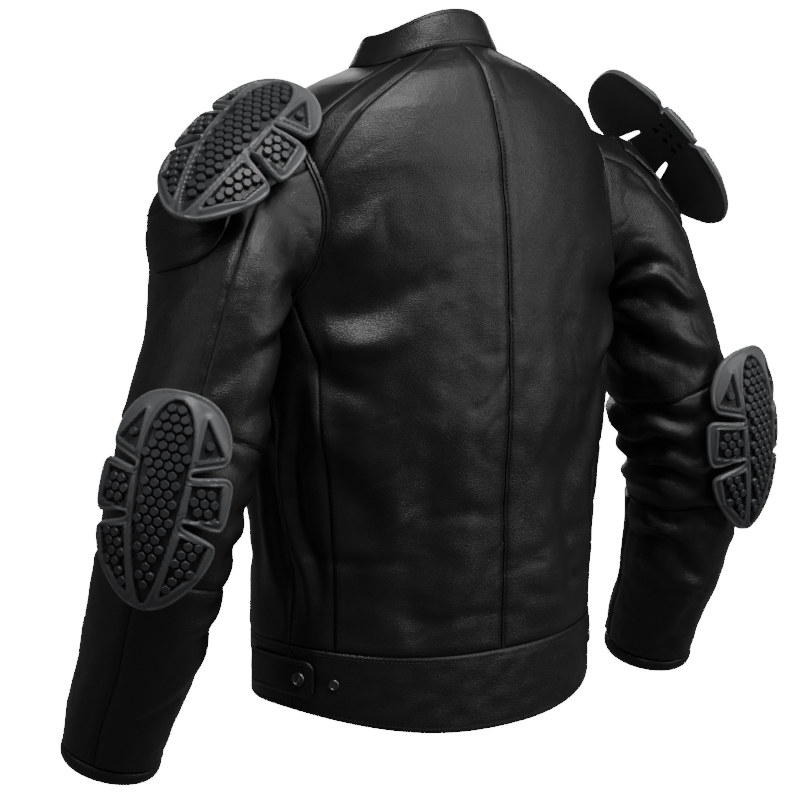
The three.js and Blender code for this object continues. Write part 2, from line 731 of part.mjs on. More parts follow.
// The tape bows outward along the slider's straight run, so this slider stands clear of its middle.
const cuffSliderEase = sliderEase + 0.42;
addZipPair("cuff", cuffZipSurface, cuffTapeWidth, 0.12, 0.7, cuffSliderEase);

export default jacket;
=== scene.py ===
import bmesh
import bpy
import json
import math
import numpy as np
from mathutils import Matrix, Vector


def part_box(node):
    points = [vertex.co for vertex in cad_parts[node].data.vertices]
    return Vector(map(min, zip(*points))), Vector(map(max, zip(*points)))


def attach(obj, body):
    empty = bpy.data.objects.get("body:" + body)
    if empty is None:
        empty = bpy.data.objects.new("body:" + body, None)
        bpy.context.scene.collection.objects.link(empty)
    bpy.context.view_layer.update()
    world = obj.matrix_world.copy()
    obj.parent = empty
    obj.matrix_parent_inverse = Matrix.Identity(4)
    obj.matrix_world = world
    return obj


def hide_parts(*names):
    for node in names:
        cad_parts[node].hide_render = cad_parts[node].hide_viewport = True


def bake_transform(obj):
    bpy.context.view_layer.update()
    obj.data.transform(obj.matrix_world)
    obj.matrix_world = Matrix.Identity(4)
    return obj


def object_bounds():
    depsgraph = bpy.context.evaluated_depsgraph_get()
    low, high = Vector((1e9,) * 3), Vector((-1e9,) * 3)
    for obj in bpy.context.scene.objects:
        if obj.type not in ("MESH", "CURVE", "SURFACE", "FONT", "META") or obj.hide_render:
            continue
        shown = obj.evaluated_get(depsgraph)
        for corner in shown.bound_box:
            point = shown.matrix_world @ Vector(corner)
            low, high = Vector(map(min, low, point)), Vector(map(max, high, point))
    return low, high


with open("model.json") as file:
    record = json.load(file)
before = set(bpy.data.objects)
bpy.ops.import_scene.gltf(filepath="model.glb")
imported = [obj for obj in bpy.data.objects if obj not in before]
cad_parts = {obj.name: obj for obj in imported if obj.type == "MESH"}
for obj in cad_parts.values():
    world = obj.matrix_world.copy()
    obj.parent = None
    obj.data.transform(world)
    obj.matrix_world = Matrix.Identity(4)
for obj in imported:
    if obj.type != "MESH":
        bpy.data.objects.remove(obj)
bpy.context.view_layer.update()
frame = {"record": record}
joints = {joint["name"]: joint for joint in frame["record"]["behaviour"]["joints"]}

# ---- Back, side and front panels, and the shoulder strips ----
# Black cowhide about 3 mm thick with its padding. The panels are sewn edge to edge, so each one
# dips to its seams, and they drape in soft folds from the armholes down to the waistband.

MM = 0.001
ROOT = "jacket"
LEATHER = 3.0
GAP = 0.6
neck_half, neck_back, neck_front = 76.0, 62.0, 60.0
chest_half, chest_back = 207.0, 128.0
waist_half, waist_back, waist_front = 182.0, 120.0, 114.0
body_length = round(-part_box("back_panel_left")[0].z / MM)
neck_front_drop, neck_side_drop = 48.0, 20.0
front_gap = 11.0
squareness = 2.25
# From the waistband to the collar: half-width, depth behind, depth in front.
WIDTHS = np.array([
    (waist_half, waist_back, waist_front),
    (waist_half, waist_back, waist_front),
    (waist_half + 6, waist_back + 2, waist_front),
    (chest_half - 6, chest_back, chest_back - 6),
    (chest_half, chest_back, chest_back - 6),
    (chest_half, chest_back - 4, neck_front + 53),
    (chest_half - 8, chest_back - 12, neck_front + 36),
    (chest_half - 34, chest_back - 26, neck_front + 22),
    (neck_half + 52, neck_back + 24, neck_front + 9),
    (neck_half, neck_back, neck_front),
])
# The same levels: height at the side, behind and in front, as shares of the length.
HEIGHTS = -body_length * np.array([
    (1 - 14 / body_length, 1, 1 - 20 / body_length),
    (0.86, 0.87, 0.86),
    (0.74, 0.745, 0.75),
    (0.6, 0.6, 0.62),
    (0.47, 0.46, 0.5),
    (0.33, 0.31, 0.39),
    (0.205, 0.18, 0.295),
    (0.115, 0.09, 0.21),
    (0.065, 0.035, 0.14),
    (neck_side_drop / body_length, 0, neck_front_drop / body_length),
])


def curve(points, share):
    """A smooth curve through points, (n, 3) or (n, m, 3), at m shares of its way."""
    points = np.asarray(points, float)
    if points.ndim == 2:
        points = points[:, None, :]
    place = np.clip(share, 0, 1) * (len(points) - 1)
    index = np.minimum(place.astype(int), len(points) - 2)
    part = (place - index)[:, None]
    ends = np.concatenate([2 * points[:1] - points[1:2], points, 2 * points[-1:] - points[-2:-1]])
    column = np.arange(len(place)) if ends.shape[1] > 1 else np.zeros(len(place), int)
    before, start, end, after = (ends[index + step, column] for step in range(4))

    def span(one, two):
        return ((one - two) ** 2).sum(-1, keepdims=True) ** 0.25

    middle = span(start, end)
    middle = np.where(middle < 1e-4, 1, middle)
    first, last = span(before, start), span(end, after)
    first = np.where(first < 1e-4, middle, first)
    last = np.where(last < 1e-4, middle, last)
    leave = (start - before) / first - (end - before) / (first + middle) + (end - start) / middle
    arrive = (end - start) / middle - (after - start) / (middle + last) + (after - end) / last
    leave, arrive = leave * middle, arrive * middle
    square = part * part
    return (start + part * leave + square * (3 * (end - start) - 2 * leave - arrive)
            + square * part * (2 * (start - end) + leave + arrive))


def body_point(turn, level):
    """A point on the body. Turn is in degrees: 0 is the wearer's left and 90 the back."""
    turn, level = np.broadcast_arrays(np.radians(turn), np.asarray(level, float))
    shape = turn.shape
    widths = curve(WIDTHS, level.ravel())
    heights = curve(HEIGHTS, level.ravel())
    c, s = np.cos(turn).ravel(), np.sin(turn).ravel()
    power = 2 / squareness
    x = np.sign(c) * abs(c) ** power * widths[:, 0]
    y = np.sign(s) * abs(s) ** power * np.where(s > 0, widths[:, 1], widths[:, 2])
    low = np.where(s > 0, heights[:, 1], heights[:, 2])
    z = heights[:, 0] + (low - heights[:, 0]) * s * s
    return np.stack([x, y, z], -1).reshape(*shape, 3)


def share_between(level, low, high):
    return np.clip((np.asarray(level, float) - low) / (high - low), 0, 1)


SIDE_SEAM, BACK_SIDE_SEAM = 10.0, 31.0
YOKE_BOTTOM, SIDE_TOP = 0.5, 5 / 12
STRIP_BACK, STRIP_FRONT = 66.0, 41.0
BACK_STEP, FRONT_STEP = 9.0, 4.0


def back_seam(level):
    rise = share_between(level, YOKE_BOTTOM, 1) ** 1.25
    step = BACK_STEP * share_between(level, SIDE_TOP, YOKE_BOTTOM)
    return BACK_SIDE_SEAM + (STRIP_BACK - BACK_SIDE_SEAM + BACK_STEP) * rise - step


def front_seam(level):
    rise = share_between(level, YOKE_BOTTOM, 1) ** 0.9
    step = FRONT_STEP * share_between(level, SIDE_TOP, YOKE_BOTTOM)
    return SIDE_SEAM + (STRIP_FRONT - SIDE_SEAM + FRONT_STEP) * rise - step


def front_edge(level):
    level = np.asarray(level, float)
    half = curve(WIDTHS, level.ravel())[:, 0].reshape(level.shape)
    return -90 + np.degrees(np.arcsin((front_gap / half) ** (squareness / 2)))


def straight(turn):
    return lambda level: turn + 0 * np.asarray(level, float)


def unit(vectors):
    return vectors / np.linalg.norm(vectors, axis=-1, keepdims=True)


def on_side(points, mirrored):
    """The points where they are seen: turned over to the wearer's right when mirrored."""
    return points * ((-1, 1, 1) if mirrored else (1, 1, 1))


def hem_fade(share):
    """The drape grows from the hem and the collar over a few centimetres."""
    return 1 - 0.75 * np.exp(-np.minimum(share, 1 - share) * 600 / 24)


def waves(points, length, seed, stretch=(1, 1, 1)):
    """A smooth uneven field, about -1 to 1, whose bumps are about this length."""
    rng = np.random.default_rng(seed)
    total = np.zeros(points.shape[:-1])
    for _ in range(14):
        way = rng.normal(size=3)
        way *= rng.uniform(0.6, 1.5) * 2 * math.pi / length / np.linalg.norm(way)
        total += np.cos((points / stretch) @ way + rng.uniform(0, 2 * math.pi))
    return total / 14 ** 0.5


def folds(across, up, lines):
    """Rounded folds along lines (across, up, across, up, height, width)."""
    total = np.zeros(across.shape)
    for a0, b0, a1, b1, height, width in lines:
        along, rise = a1 - a0, b1 - b0
        length = math.hypot(along, rise)
        share = ((across - a0) * along + (up - b0) * rise) / length ** 2
        off = ((across - a0) * rise - (up - b0) * along) / length
        inside = np.clip(share, 0, 1)
        past = (share - inside) * length
        bow = 0.06 * length * np.sin(math.pi * inside)
        fade = np.sin(math.pi * np.clip(inside * 0.86 + 0.07, 0, 1)) ** 0.6
        total += height * fade * np.exp(-((off - bow) ** 2 + past ** 2) / width ** 2)
    return total


# (turn, height) to (turn, height), then how high and how wide. Minus is a hollow.
BODY_FOLDS = [
    (38, -190, 55, -150, 6.5, 20), (35, -228, 62, -206, -5, 15), (36, -262, 60, -252, 5.5, 17),
    (33, -288, 52, -318, -5, 13), (31, -305, 42, -385, 5, 13), (38, -345, 46, -450, -3.5, 14),
    (54, -300, 50, -500, 3.5, 22), (20, -290, 24, -520, 4, 11), (27, -330, 28, -500, -3.5, 9),
    (14, -330, 13, -520, -3.5, 11), (5, -300, 4, -500, 3.5, 14), (-8, -330, -6, -520, -3, 14),
    (66, -380, 63, -540, -3, 20), (78, -330, 76, -540, 2.6, 24), (104, -320, 107, -545, 3.2, 22),
    (119, -350, 117, -535, -3.4, 17), (131, -330, 133, -530, 4.2, 16), (145, -300, 142, -510, -4, 13),
    (146, -210, 122, -188, 5, 17), (148, -238, 124, -236, -5, 14), (148, -262, 126, -290, 5.5, 15),
    (150, -286, 134, -345, -4.5, 13), (156, -320, 152, -520, 4, 12), (166, -320, 168, -520, -3.5, 11),
    (48, -505, 92, -520, -1.6, 8), (86, -462, 128, -452, -1.5, 8), (60, -430, 88, -424, -1.2, 8),
    (96, -498, 140, -512, -1.8, 8), (72, -118, 106, -112, -1.2, 22), (20, -455, 58, -470, -1.6, 7),
    (-30, -300, -52, -420, 4, 20), (-70, -180, -60, -420, -3, 26), (-28, -230, -52, -210, -4, 16),
    (-110, -180, -120, -420, -3, 26), (-150, -300, -130, -420, 4, 20), (-25, -470, -80, -490, -2, 12),
    (-100, -480, -155, -470, -2, 12),
]


def body_relief(points, turn):
    """How far the drape lifts the body's leather, in millimetres."""
    across = 3.0 * turn + 9 * waves(points, 120, 3)
    up = points[..., 2] + 9 * waves(points, 120, 4)
    lines = [(3.0 * a, b, 3.0 * c, d, h, w) for a, b, c, d, h, w in BODY_FOLDS]
    loose = 0.3 + 0.7 * share_between(-points[..., 2], 120, 330)
    field = waves(points, 105, 5, (1, 1, 1.7))
    crease = np.exp(-(waves(points, 92, 8, (1.2, 1.2, 0.8)) / 0.11) ** 2)
    return (1.3 * folds(across, up, lines) + 1.6 * loose * waves(points, 88, 6, (1, 1, 2.6))
            + 0.5 * waves(points, 34, 7) * loose - 1.1 * crease * loose * np.clip(field + 0.5, 0, 1))


EDGE = np.array([0, 0.7, 1.5, 2.6, 4.2, 6.5, 9.5])


def spaced(lengths, pitch):
    """For each length, shares from 0 to 1 that lie closer together near both ends."""
    lengths = np.asarray(lengths, float)[:, None]
    near = EDGE * np.minimum(1, lengths / (2.6 * EDGE[-1]))
    reach = near[:, -1:]
    count = max(3, round(float(lengths.max() - 2 * EDGE[-1]) / pitch))
    middle = np.linspace(0, 1, count + 1)[1:-1]
    inner = reach + (lengths - 2 * reach) * middle
    return np.concatenate([near, inner, lengths - near[:, ::-1]], 1) / lengths


def path_lengths(points, axis):
    return np.linalg.norm(np.diff(points, axis=axis), axis=-1).sum(axis)


def lay_out(place, pitch, sewn="lrbt"):
    """Rows and columns over place(u, v), and each point's distance from the nearest sewn edge."""
    few = np.linspace(0, 1, 13)
    tall = float(path_lengths(place(*np.meshgrid(few, few)), 0).mean())
    rows = spaced([tall], pitch)[0]
    wide = path_lengths(place(*np.meshgrid(few, rows)), 1)
    u = spaced(wide, pitch)
    v = np.repeat(rows[:, None], u.shape[1], 1)
    across, up = u * wide[:, None], v * tall
    ends = {"l": across, "r": wide[:, None] - across, "b": up, "t": tall - up}
    edge = np.minimum.reduce([ends[k] for k in sewn] + [np.full(u.shape, 99.0)])
    return u, v, edge


def normals(points, closed=False):
    across = np.gradient(points, axis=1)
    if closed:
        across[:, 0] = across[:, -1] = points[:, 1] - points[:, -2]
    out = np.cross(across, np.gradient(points, axis=0))
    return out / np.maximum(np.linalg.norm(out, axis=-1, keepdims=True), 1e-9)


def seam_dip(edge, depth=1.5):
    """Leather turned under along a sewn edge, and the fullness beside it."""
    return -depth * np.exp(-(edge / 1.7) ** 2) + 0.5 * np.exp(-((edge - 7) / 3.5) ** 2) \
        - 0.25 * np.exp(-((edge - 3.6) / 0.9) ** 2)


def only(obj):
    bpy.ops.object.select_all(action="DESELECT")
    obj.select_set(True)
    bpy.context.view_layer.objects.active = obj


def apply_all(obj):
    only(obj)
    for modifier in list(obj.modifiers):
        bpy.ops.object.modifier_apply(modifier=modifier.name)


def edit(obj, *steps):
    """Runs edit-mode steps on the whole of one mesh."""
    only(obj)
    bpy.ops.object.mode_set(mode="EDIT")
    bpy.ops.mesh.select_all(action="SELECT")
    for step in steps:
        step()
    bpy.ops.object.mode_set(mode="OBJECT")


def grid_mesh(name, points, closed=False, mirrored=False, capped=False):
    """A grid pulled over points (rows, columns, 3). Its faces look along across x up."""
    rows, columns = points.shape[:2]
    bpy.ops.mesh.primitive_grid_add(x_subdivisions=columns - 1, y_subdivisions=rows - 1, size=1)
    obj = bpy.context.object
    obj.name = obj.data.name = name
    placed = on_side(points * MM, mirrored)
    obj.data.vertices.foreach_set("co", placed.reshape(-1))
    obj.data.update()
    if mirrored:
        edit(obj, bpy.ops.mesh.flip_normals)
    if closed:
        edit(obj, lambda: bpy.ops.mesh.remove_doubles(threshold=2e-5))
    if capped:
        edit(obj, lambda: bpy.ops.mesh.select_all(action="DESELECT"),
             bpy.ops.mesh.select_non_manifold,
             lambda: bpy.ops.mesh.fill_holes(sides=0))
    return obj


def settle(obj, material, body, nodes=(), angle=38):
    """Finish, shading and the body that the piece rides on."""
    only(obj)
    bpy.ops.object.shade_smooth_by_angle(angle=math.radians(angle))
    obj.data.materials.clear()
    obj.data.materials.append(material)
    if nodes:
        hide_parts(*nodes)
    if isinstance(body, str):
        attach(obj, body)
    else:
        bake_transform(obj)
    return obj


def thicken(obj, thickness):
    modifier = obj.modifiers.new("thickness", "SOLIDIFY")
    modifier.thickness = thickness * MM
    modifier.offset = -1
    apply_all(obj)


class Wire:
    """A shader socket that can be added, multiplied and compared."""

    def __init__(self, tree, socket):
        self.tree, self.socket = tree, socket

    def maths(self, operation, *others):
        made = self.tree.nodes.new("ShaderNodeMath")
        made.operation = operation
        for socket, value in zip(made.inputs, (self, *others)):
            plug(self.tree, socket, value)
        return Wire(self.tree, made.outputs[0])

    def __add__(self, other):
        return self.maths("ADD", other)

    def __sub__(self, other):
        return self.maths("SUBTRACT", other)

    def __mul__(self, other):
        return self.maths("MULTIPLY", other)

    def __rsub__(self, other):
        return self * -1.0 + other

    __radd__, __rmul__ = __add__, __mul__

    def clamp(self, low, high):
        return self.maths("MAXIMUM", low).maths("MINIMUM", high)


def plug(tree, socket, value):
    if isinstance(value, Wire):
        tree.links.new(value.socket, socket)
    else:
        socket.default_value = value


def node(tree, kind, output=0, settings=None, **inputs):
    made = tree.nodes.new("ShaderNode" + kind)
    for key, value in (settings or {}).items():
        setattr(made, key, value)
    for key, value in inputs.items():
        plug(tree, made.inputs[key.replace("_", " ")], value)
    return Wire(tree, made.outputs[output])


def finish_of(name, shade, **constants):
    """A material: shade(tree, shader, place) adds what varies over the surface."""
    material = bpy.data.materials.new(name)
    material.use_nodes = True
    tree = material.node_tree
    shader = tree.nodes["Principled BSDF"]
    for key, value in constants.items():
        shader.inputs[key.replace("_", " ")].default_value = value
    place = node(tree, "TexCoord", "Object")
    shade(tree, shader, place)
    return material


def grey(value, warm=0.0):
    return (value * (1 + warm), value, value * (1 - warm * 0.5), 1)


def between(tree, share, dark, light):
    """A colour from dark at 0 to light at 1."""
    made = node(tree, "Mix", 2, {"data_type": "RGBA"}, Factor=share)
    made.socket.node.inputs[6].default_value = dark
    made.socket.node.inputs[7].default_value = light
    return made


def bump(tree, height, distance, strength=1.0, below=None):
    made = node(tree, "Bump", 0, Height=height, Distance=distance, Strength=strength)
    if below is not None:
        tree.links.new(below.socket, made.socket.node.inputs["Normal"])
    return made


def leather_shade(dark, light, rough):
    def shade(tree, shader, place):
        cloud = node(tree, "TexNoise", 0, Vector=place, Scale=9.0, Detail=4.0, Roughness=0.6)
        worn = node(tree, "TexNoise", 0, Vector=place, Scale=70.0, Detail=6.0, Roughness=0.65)
        pebble = node(tree, "TexVoronoi", "Distance", {"feature": "DISTANCE_TO_EDGE"},
                      Vector=place, Scale=520.0, Randomness=1.0)
        fine = node(tree, "TexNoise", 0, Vector=place, Scale=1500.0, Detail=3.0)
        crease = node(tree, "TexNoise", 0, {"noise_type": "RIDGED_MULTIFRACTAL"},
                      Vector=place, Scale=42.0, Detail=5.0, Roughness=0.55)
        flat = node(tree, "Mapping", 0, Vector=place, Scale=(1.0, 1.0, 2.4))
        fine_fold = node(tree, "TexNoise", 0, {"noise_type": "RIDGED_MULTIFRACTAL"},
                         Vector=flat, Scale=95.0, Detail=4.0, Roughness=0.6)
        grain = (pebble * 5.0).clamp(0.0, 1.0)
        tone = (cloud * 0.6 + worn * 0.4).clamp(0.0, 1.0)
        plug(tree, shader.inputs["Base Color"], between(tree, tone, grey(dark), grey(light, 0.03)))
        plug(tree, shader.inputs["Roughness"], rough + worn * 0.16 - grain * 0.05 + cloud * 0.08)
        rising = bump(tree, crease, 0.0012, 0.22)
        rising = bump(tree, fine_fold, 0.0005, 0.3, rising)
        rising = bump(tree, grain + fine * 0.5, 0.00025, 0.42, rising)
        plug(tree, shader.inputs["Normal"], rising)
    return shade


LEATHER_FINISH = finish_of("black_leather", leather_shade(0.005, 0.010, 0.30), Specular_IOR_Level=0.5)


def thread_shade(tree, shader, place):
    twist = node(tree, "TexWave", 0, Vector=place, Scale=900.0, Distortion=1.0)
    plug(tree, shader.inputs["Normal"], bump(tree, twist, 0.0001, 0.5))


THREAD_FINISH = finish_of("thread", thread_shade, Base_Color=grey(0.012), Roughness=0.6)


ARMHOLE_HEIGHT, ARMHOLE_DEPTH, ARMHOLE_DROP = 90.3, 74.3, 162.0


def outside_armhole(points):
    """Distance outside the armhole's edge, in millimetres, on either side."""
    reach = np.hypot(points[..., 1] / ARMHOLE_DEPTH, (points[..., 2] + ARMHOLE_DROP) / ARMHOLE_HEIGHT)
    away = (reach - 1) * np.hypot(points[..., 1], points[..., 2] + ARMHOLE_DROP) / np.maximum(reach, 0.01)
    return np.where(abs(points[..., 0]) < 100, 999.0, away)


def cut_armhole(obj):
    """Takes out the faces inside the armhole and draws the rim round onto its edge."""
    mesh = bmesh.new()
    mesh.from_mesh(obj.data)
    inside = []
    for face in mesh.faces:
        middle = np.array(face.calc_center_median()) / MM
        if outside_armhole(middle) < 0:
            inside.append(face)
    bmesh.ops.delete(mesh, geom=inside, context="FACES")
    loose = [v for v in mesh.verts if not v.link_faces]
    bmesh.ops.delete(mesh, geom=loose, context="VERTS")
    for vertex in mesh.verts:
        if not vertex.is_boundary:
            continue
        place = np.array(vertex.co) / MM
        if abs(outside_armhole(place)) < 5:
            reach = math.hypot(place[1] / ARMHOLE_DEPTH, (place[2] + ARMHOLE_DROP) / ARMHOLE_HEIGHT)
            vertex.co.y = place[1] / reach * MM
            vertex.co.z = ((place[2] + ARMHOLE_DROP) / reach - ARMHOLE_DROP) * MM
    mesh.to_mesh(obj.data)
    mesh.free()


def degrees_for(turn, level, distance):
    """How far to turn round the body for this distance in millimetres."""
    step = np.linalg.norm(body_point(turn + 0.5, level) - body_point(turn - 0.5, level), axis=-1)
    return distance / step


def body_span(left, right, bottom, top):
    """place(u, v) for a panel between two seams and two levels, clear of its neighbours."""
    def place(u, v):
        level = bottom + (top - bottom) * v
        inset = degrees_for(left(level), level, GAP / 2)
        across = right(level) - left(level) - 2 * inset
        return body_point(left(level) + inset + across * u, level)
    return place


def turn_of(points):
    """The turn of a point round the body, in degrees."""
    return np.degrees(np.arctan2(points[..., 1] / waist_back, points[..., 0] / chest_half))


def body_skin(name, place, node_name, mirrored, thickness=LEATHER, depth=0.0, pitch=3.4,
              material=LEATHER_FINISH, sewn="lrbt"):
    u, v, edge = lay_out(place, pitch, sewn)
    points = place(u, v)
    seen = on_side(points, mirrored)
    fade = hem_fade(v)
    hole = np.maximum(outside_armhole(points), 0)
    height = body_relief(seen, turn_of(seen)) * fade + (0 if depth else 1) * seam_dip(np.minimum(edge, hole))
    height *= 1 - 0.5 * np.exp(-hole / 14)
    points = points + normals(points) * (height - depth)[..., None]
    obj = grid_mesh(name, points, mirrored=mirrored)
    cut_armhole(obj)
    thicken(obj, thickness)
    return settle(obj, material, ROOT, [node_name])


PANELS = {
    "back_panel": body_span(back_seam, straight(90.0), 0, 1),
    "side_panel": body_span(front_seam, back_seam, 0, YOKE_BOTTOM),
    "front_panel": body_span(front_edge, front_seam, 0, 1),
    "shoulder_strip": body_span(front_seam, back_seam, YOKE_BOTTOM, 1),
}
for side in ("left", "right"):
    for piece, place in PANELS.items():
        node_name = f"{piece}_{side}"
        body_skin(node_name + "_skin", place, node_name, side == "right")

# ---- Piping and top stitching of the body ----
# A thin rolled welt of leather runs round each armhole and up both edges of the shoulder strips.
# Rows of black thread stitches lie beside the seams.


def path_frames(path):
    """Unit directions along a path."""
    along = np.gradient(path, axis=0)
    return unit(along)


def tube(name, path, outward, radius, around=8, closed=False, mirrored=False):
    """A round welt along a path (n, 3), with rounded ends."""
    along = path_frames(path)
    side = np.cross(along, outward)
    side = unit(side)
    lift = np.cross(side, along)
    angle = np.linspace(0, 2 * math.pi, around + 1)
    size = np.full(len(path), radius, float)
    if not closed:
        size[0] = size[-1] = radius * 0.3
    ring = np.cos(angle)[None, :, None] * side[:, None] + np.sin(angle)[None, :, None] * lift[:, None]
    points = path[:, None] + ring * size[:, None, None]
    return grid_mesh(name, points[:, ::-1], closed=True, mirrored=mirrored, capped=not closed)


def joined(name, objects):
    bpy.ops.object.select_all(action="DESELECT")
    for obj in objects:
        obj.select_set(True)
    bpy.context.view_layer.objects.active = objects[0]
    if len(objects) > 1:
        bpy.ops.object.join()
    objects[0].name = objects[0].data.name = name
    return objects[0]


def even(path, step):
    """The path again, at even steps."""
    lengths = np.concatenate([[0], np.cumsum(np.linalg.norm(np.diff(path, axis=0), axis=1))])
    count = max(2, int(lengths[-1] / step))
    places = (np.arange(count) + 0.5) * lengths[-1] / count
    return np.stack([np.interp(places, lengths, path[:, k]) for k in range(3)], 1)


def repeated(name, base, origins, x_axes, y_axes, z_axes, mirrored=False):
    """Copies of a small mesh, one at each origin with these axes, as one mesh."""
    corners = np.array([v.co for v in base.data.vertices])
    faces = [tuple(p.vertices) for p in base.data.polygons]
    axes = np.stack([x_axes, y_axes, z_axes], 1)
    points = origins[:, None] + corners[None] @ axes
    points = on_side(points, mirrored)
    made = bpy.data.meshes.new(name)
    all_faces = []
    for copy in range(len(origins)):
        for face in faces:
            whole = [copy * len(corners) + i for i in face]
            all_faces.append(whole[::-1] if mirrored else whole)
    made.from_pydata((points * MM).reshape(-1, 3).tolist(), [], all_faces)
    made.update()
    obj = bpy.data.objects.new(name, made)
    bpy.context.collection.objects.link(obj)
    bpy.data.objects.remove(base)
    return obj


def stitch_base(length=2.7, radius=0.42):
    bpy.ops.mesh.primitive_uv_sphere_add(segments=6, ring_count=4, radius=1)
    obj = bpy.context.object
    for vertex in obj.data.vertices:
        vertex.co = (vertex.co.x * radius, vertex.co.z * length / 2, vertex.co.y * radius * 0.8)
    edit(obj, lambda: bpy.ops.mesh.normals_make_consistent(inside=False))
    return obj


def stitches(name, path, outward, mirrored=False, step=3.9, stand=0.1):
    """A row of stitches along a path; outward is the surface's direction at each point."""
    places = even(path, step)
    nearest = np.argmin(((places[:, None] - path[None]) ** 2).sum(-1), 1)
    out = outward[nearest]
    along = path_frames(places)
    across = np.cross(along, out)
    across = unit(across)
    origins = places + out * stand
    return repeated(name, stitch_base(), origins, across, along, np.cross(across, along), mirrored)


def body_line(turn, level, lift=0.0, mirrored=False):
    """A line over the draped body, with the outward direction at each point."""
    here = body_point(turn, level)
    across = body_point(turn + 0.5, level) - body_point(turn - 0.5, level)
    top = np.minimum(level + 0.004, 1)
    up = body_point(turn, top) - body_point(turn, top - 0.008)
    out = np.cross(across, up)
    out = unit(out)
    seen = on_side(here, mirrored)
    fade = hem_fade(level)
    hole = np.maximum(outside_armhole(here), 0)
    height = body_relief(seen, turn_of(seen)) * fade * (1 - 0.5 * np.exp(-hole / 14))
    return here + out * (height + lift)[:, None], out


def clear_runs(path, out, clear):
    """The parts of a line that lie outside the armhole."""
    keep = outside_armhole(path) > clear
    runs, start = [], None
    for index, good in enumerate(list(keep) + [False]):
        if good and start is None:
            start = index
        if not good and start is not None:
            if index - start > 6:
                runs.append((path[start:index], out[start:index]))
            start = None
    return runs


for side in ("left", "right"):
    flip = side == "right"
    welts, threads = [], []
    lines = [
        (back_seam, YOKE_BOTTOM, 0.995, (-4.2, 4.2), True),
        (front_seam, YOKE_BOTTOM, 0.995, (4.2,), True),
        (back_seam, 0.005, SIDE_TOP, (4.2,), False),
        (straight(SIDE_SEAM), 0.005, SIDE_TOP, (4.2,), False),
        (straight(90.0), 0.005, 0.995, (-4.2,), False),
        (front_edge, 0.005, 0.995, (6.0,), False),
    ]
    for number, (seam, bottom, top, offsets, welted) in enumerate(lines):
        level = np.linspace(bottom, top, 220)
        if welted:
            path, out = body_line(seam(level), level, -0.1, flip)
            for run, (part, way) in enumerate(clear_runs(path, out, 3)):
                welts.append(tube(f"welt_{number}_{run}", part, way, 1.4, mirrored=flip))
        for offset in offsets:
            turn = seam(level) + degrees_for(seam(level), level, offset)
            path, out = body_line(turn, level, 0.2, flip)
            for run, (part, way) in enumerate(clear_runs(path, out, 5)):
                threads.append(stitches(f"row_{number}_{run}", part, way, flip))
    settle(joined(f"shoulder_piping_{side}", welts), LEATHER_FINISH, ROOT)
    settle(joined(f"body_stitching_{side}", threads), THREAD_FINISH, ROOT)

# ---- Linings, waistband, collar and hanger loop ----
# Black woven lining hangs inside the leather. The band and the stand collar are doubled leather,
# stitched along every edge, and the loop is a narrow folded strap sewn inside the neck.


def lining_shade(tree, shader, place):
    weave = node(tree, "TexWave", 0, {"bands_direction": "DIAGONAL"},
                 Vector=place, Scale=520.0, Distortion=0.4)
    cloud = node(tree, "TexNoise", 0, Vector=place, Scale=24.0, Detail=3.0)
    plug(tree, shader.inputs["Roughness"], 0.62 + cloud * 0.2)
    plug(tree, shader.inputs["Normal"], bump(tree, weave, 0.0002, 0.4))


LINING_FINISH = finish_of("lining_cloth", lining_shade, Base_Color=grey(0.018), Sheen_Weight=0.2)
LINING_DEPTH = LEATHER + 2.4
for side in ("left", "right"):
    span = body_span(lambda level: front_edge(level) + 2, straight(89.8), 0, 1)
    body_skin(f"body_lining_{side}_cloth", span, f"body_lining_{side}", side == "right",
              1.2, LINING_DEPTH, 8.0, LINING_FINISH)

BAND_BACK, BAND_FRONT = 74.0, 60.0
COLLAR_BACK, COLLAR_FRONT, COLLAR_LEAN = 33.0, 24.0, 14.0


def band_point(turn, share):
    seam = body_point(turn, 0 * np.asarray(turn, float))
    s = np.sin(np.radians(turn))
    drop = BAND_FRONT + (BAND_BACK - BAND_FRONT) * np.maximum(0, s) ** 2
    return seam - np.stack([0 * s, 0 * s, GAP + drop * (1 - share)], -1)


def collar_point(turn, share):
    seam = body_point(turn, 1 + 0 * np.asarray(turn, float))
    lean = 1 - COLLAR_LEAN / neck_half * share
    rise = COLLAR_FRONT + (COLLAR_BACK - COLLAR_FRONT) * (1 + np.sin(np.radians(turn))) / 2
    return np.stack([seam[..., 0] * lean, seam[..., 1] * lean, seam[..., 2] + 0.9 + rise * share], -1)


def band_relief(points):
    return 0.9 * waves(points, 95, 21, (1, 1, 2)) + 0.35 * waves(points, 26, 22, (1, 1, 0.7))


def doubled(name, surface, start, end, node_name, mirrored=False, body=ROOT, extra=0.0, pitch=3.2,
            thickness=LEATHER + 1, depth=0.0, shape=None):
    """A strip of doubled leather over a surface, rounded over at every edge."""
    low, high = (0.0, 1.0) if shape is None else shape

    def place(u, v):
        return surface(start + (end - start) * u, low + (high - low) * v)

    u, v, edge = lay_out(place, pitch)
    points = place(u, v)
    height = band_relief(on_side(points, mirrored)) * (1 - np.exp(-edge / 5))
    height += extra - 1.1 * np.exp(-(edge / 1.3) ** 2) - 0.35 * np.exp(-((edge - 4.2) / 1.0) ** 2)
    obj = grid_mesh(name, points + normals(points) * (height - depth)[..., None], mirrored=mirrored)
    thicken(obj, thickness)
    return settle(obj, LEATHER_FINISH, body, [node_name])


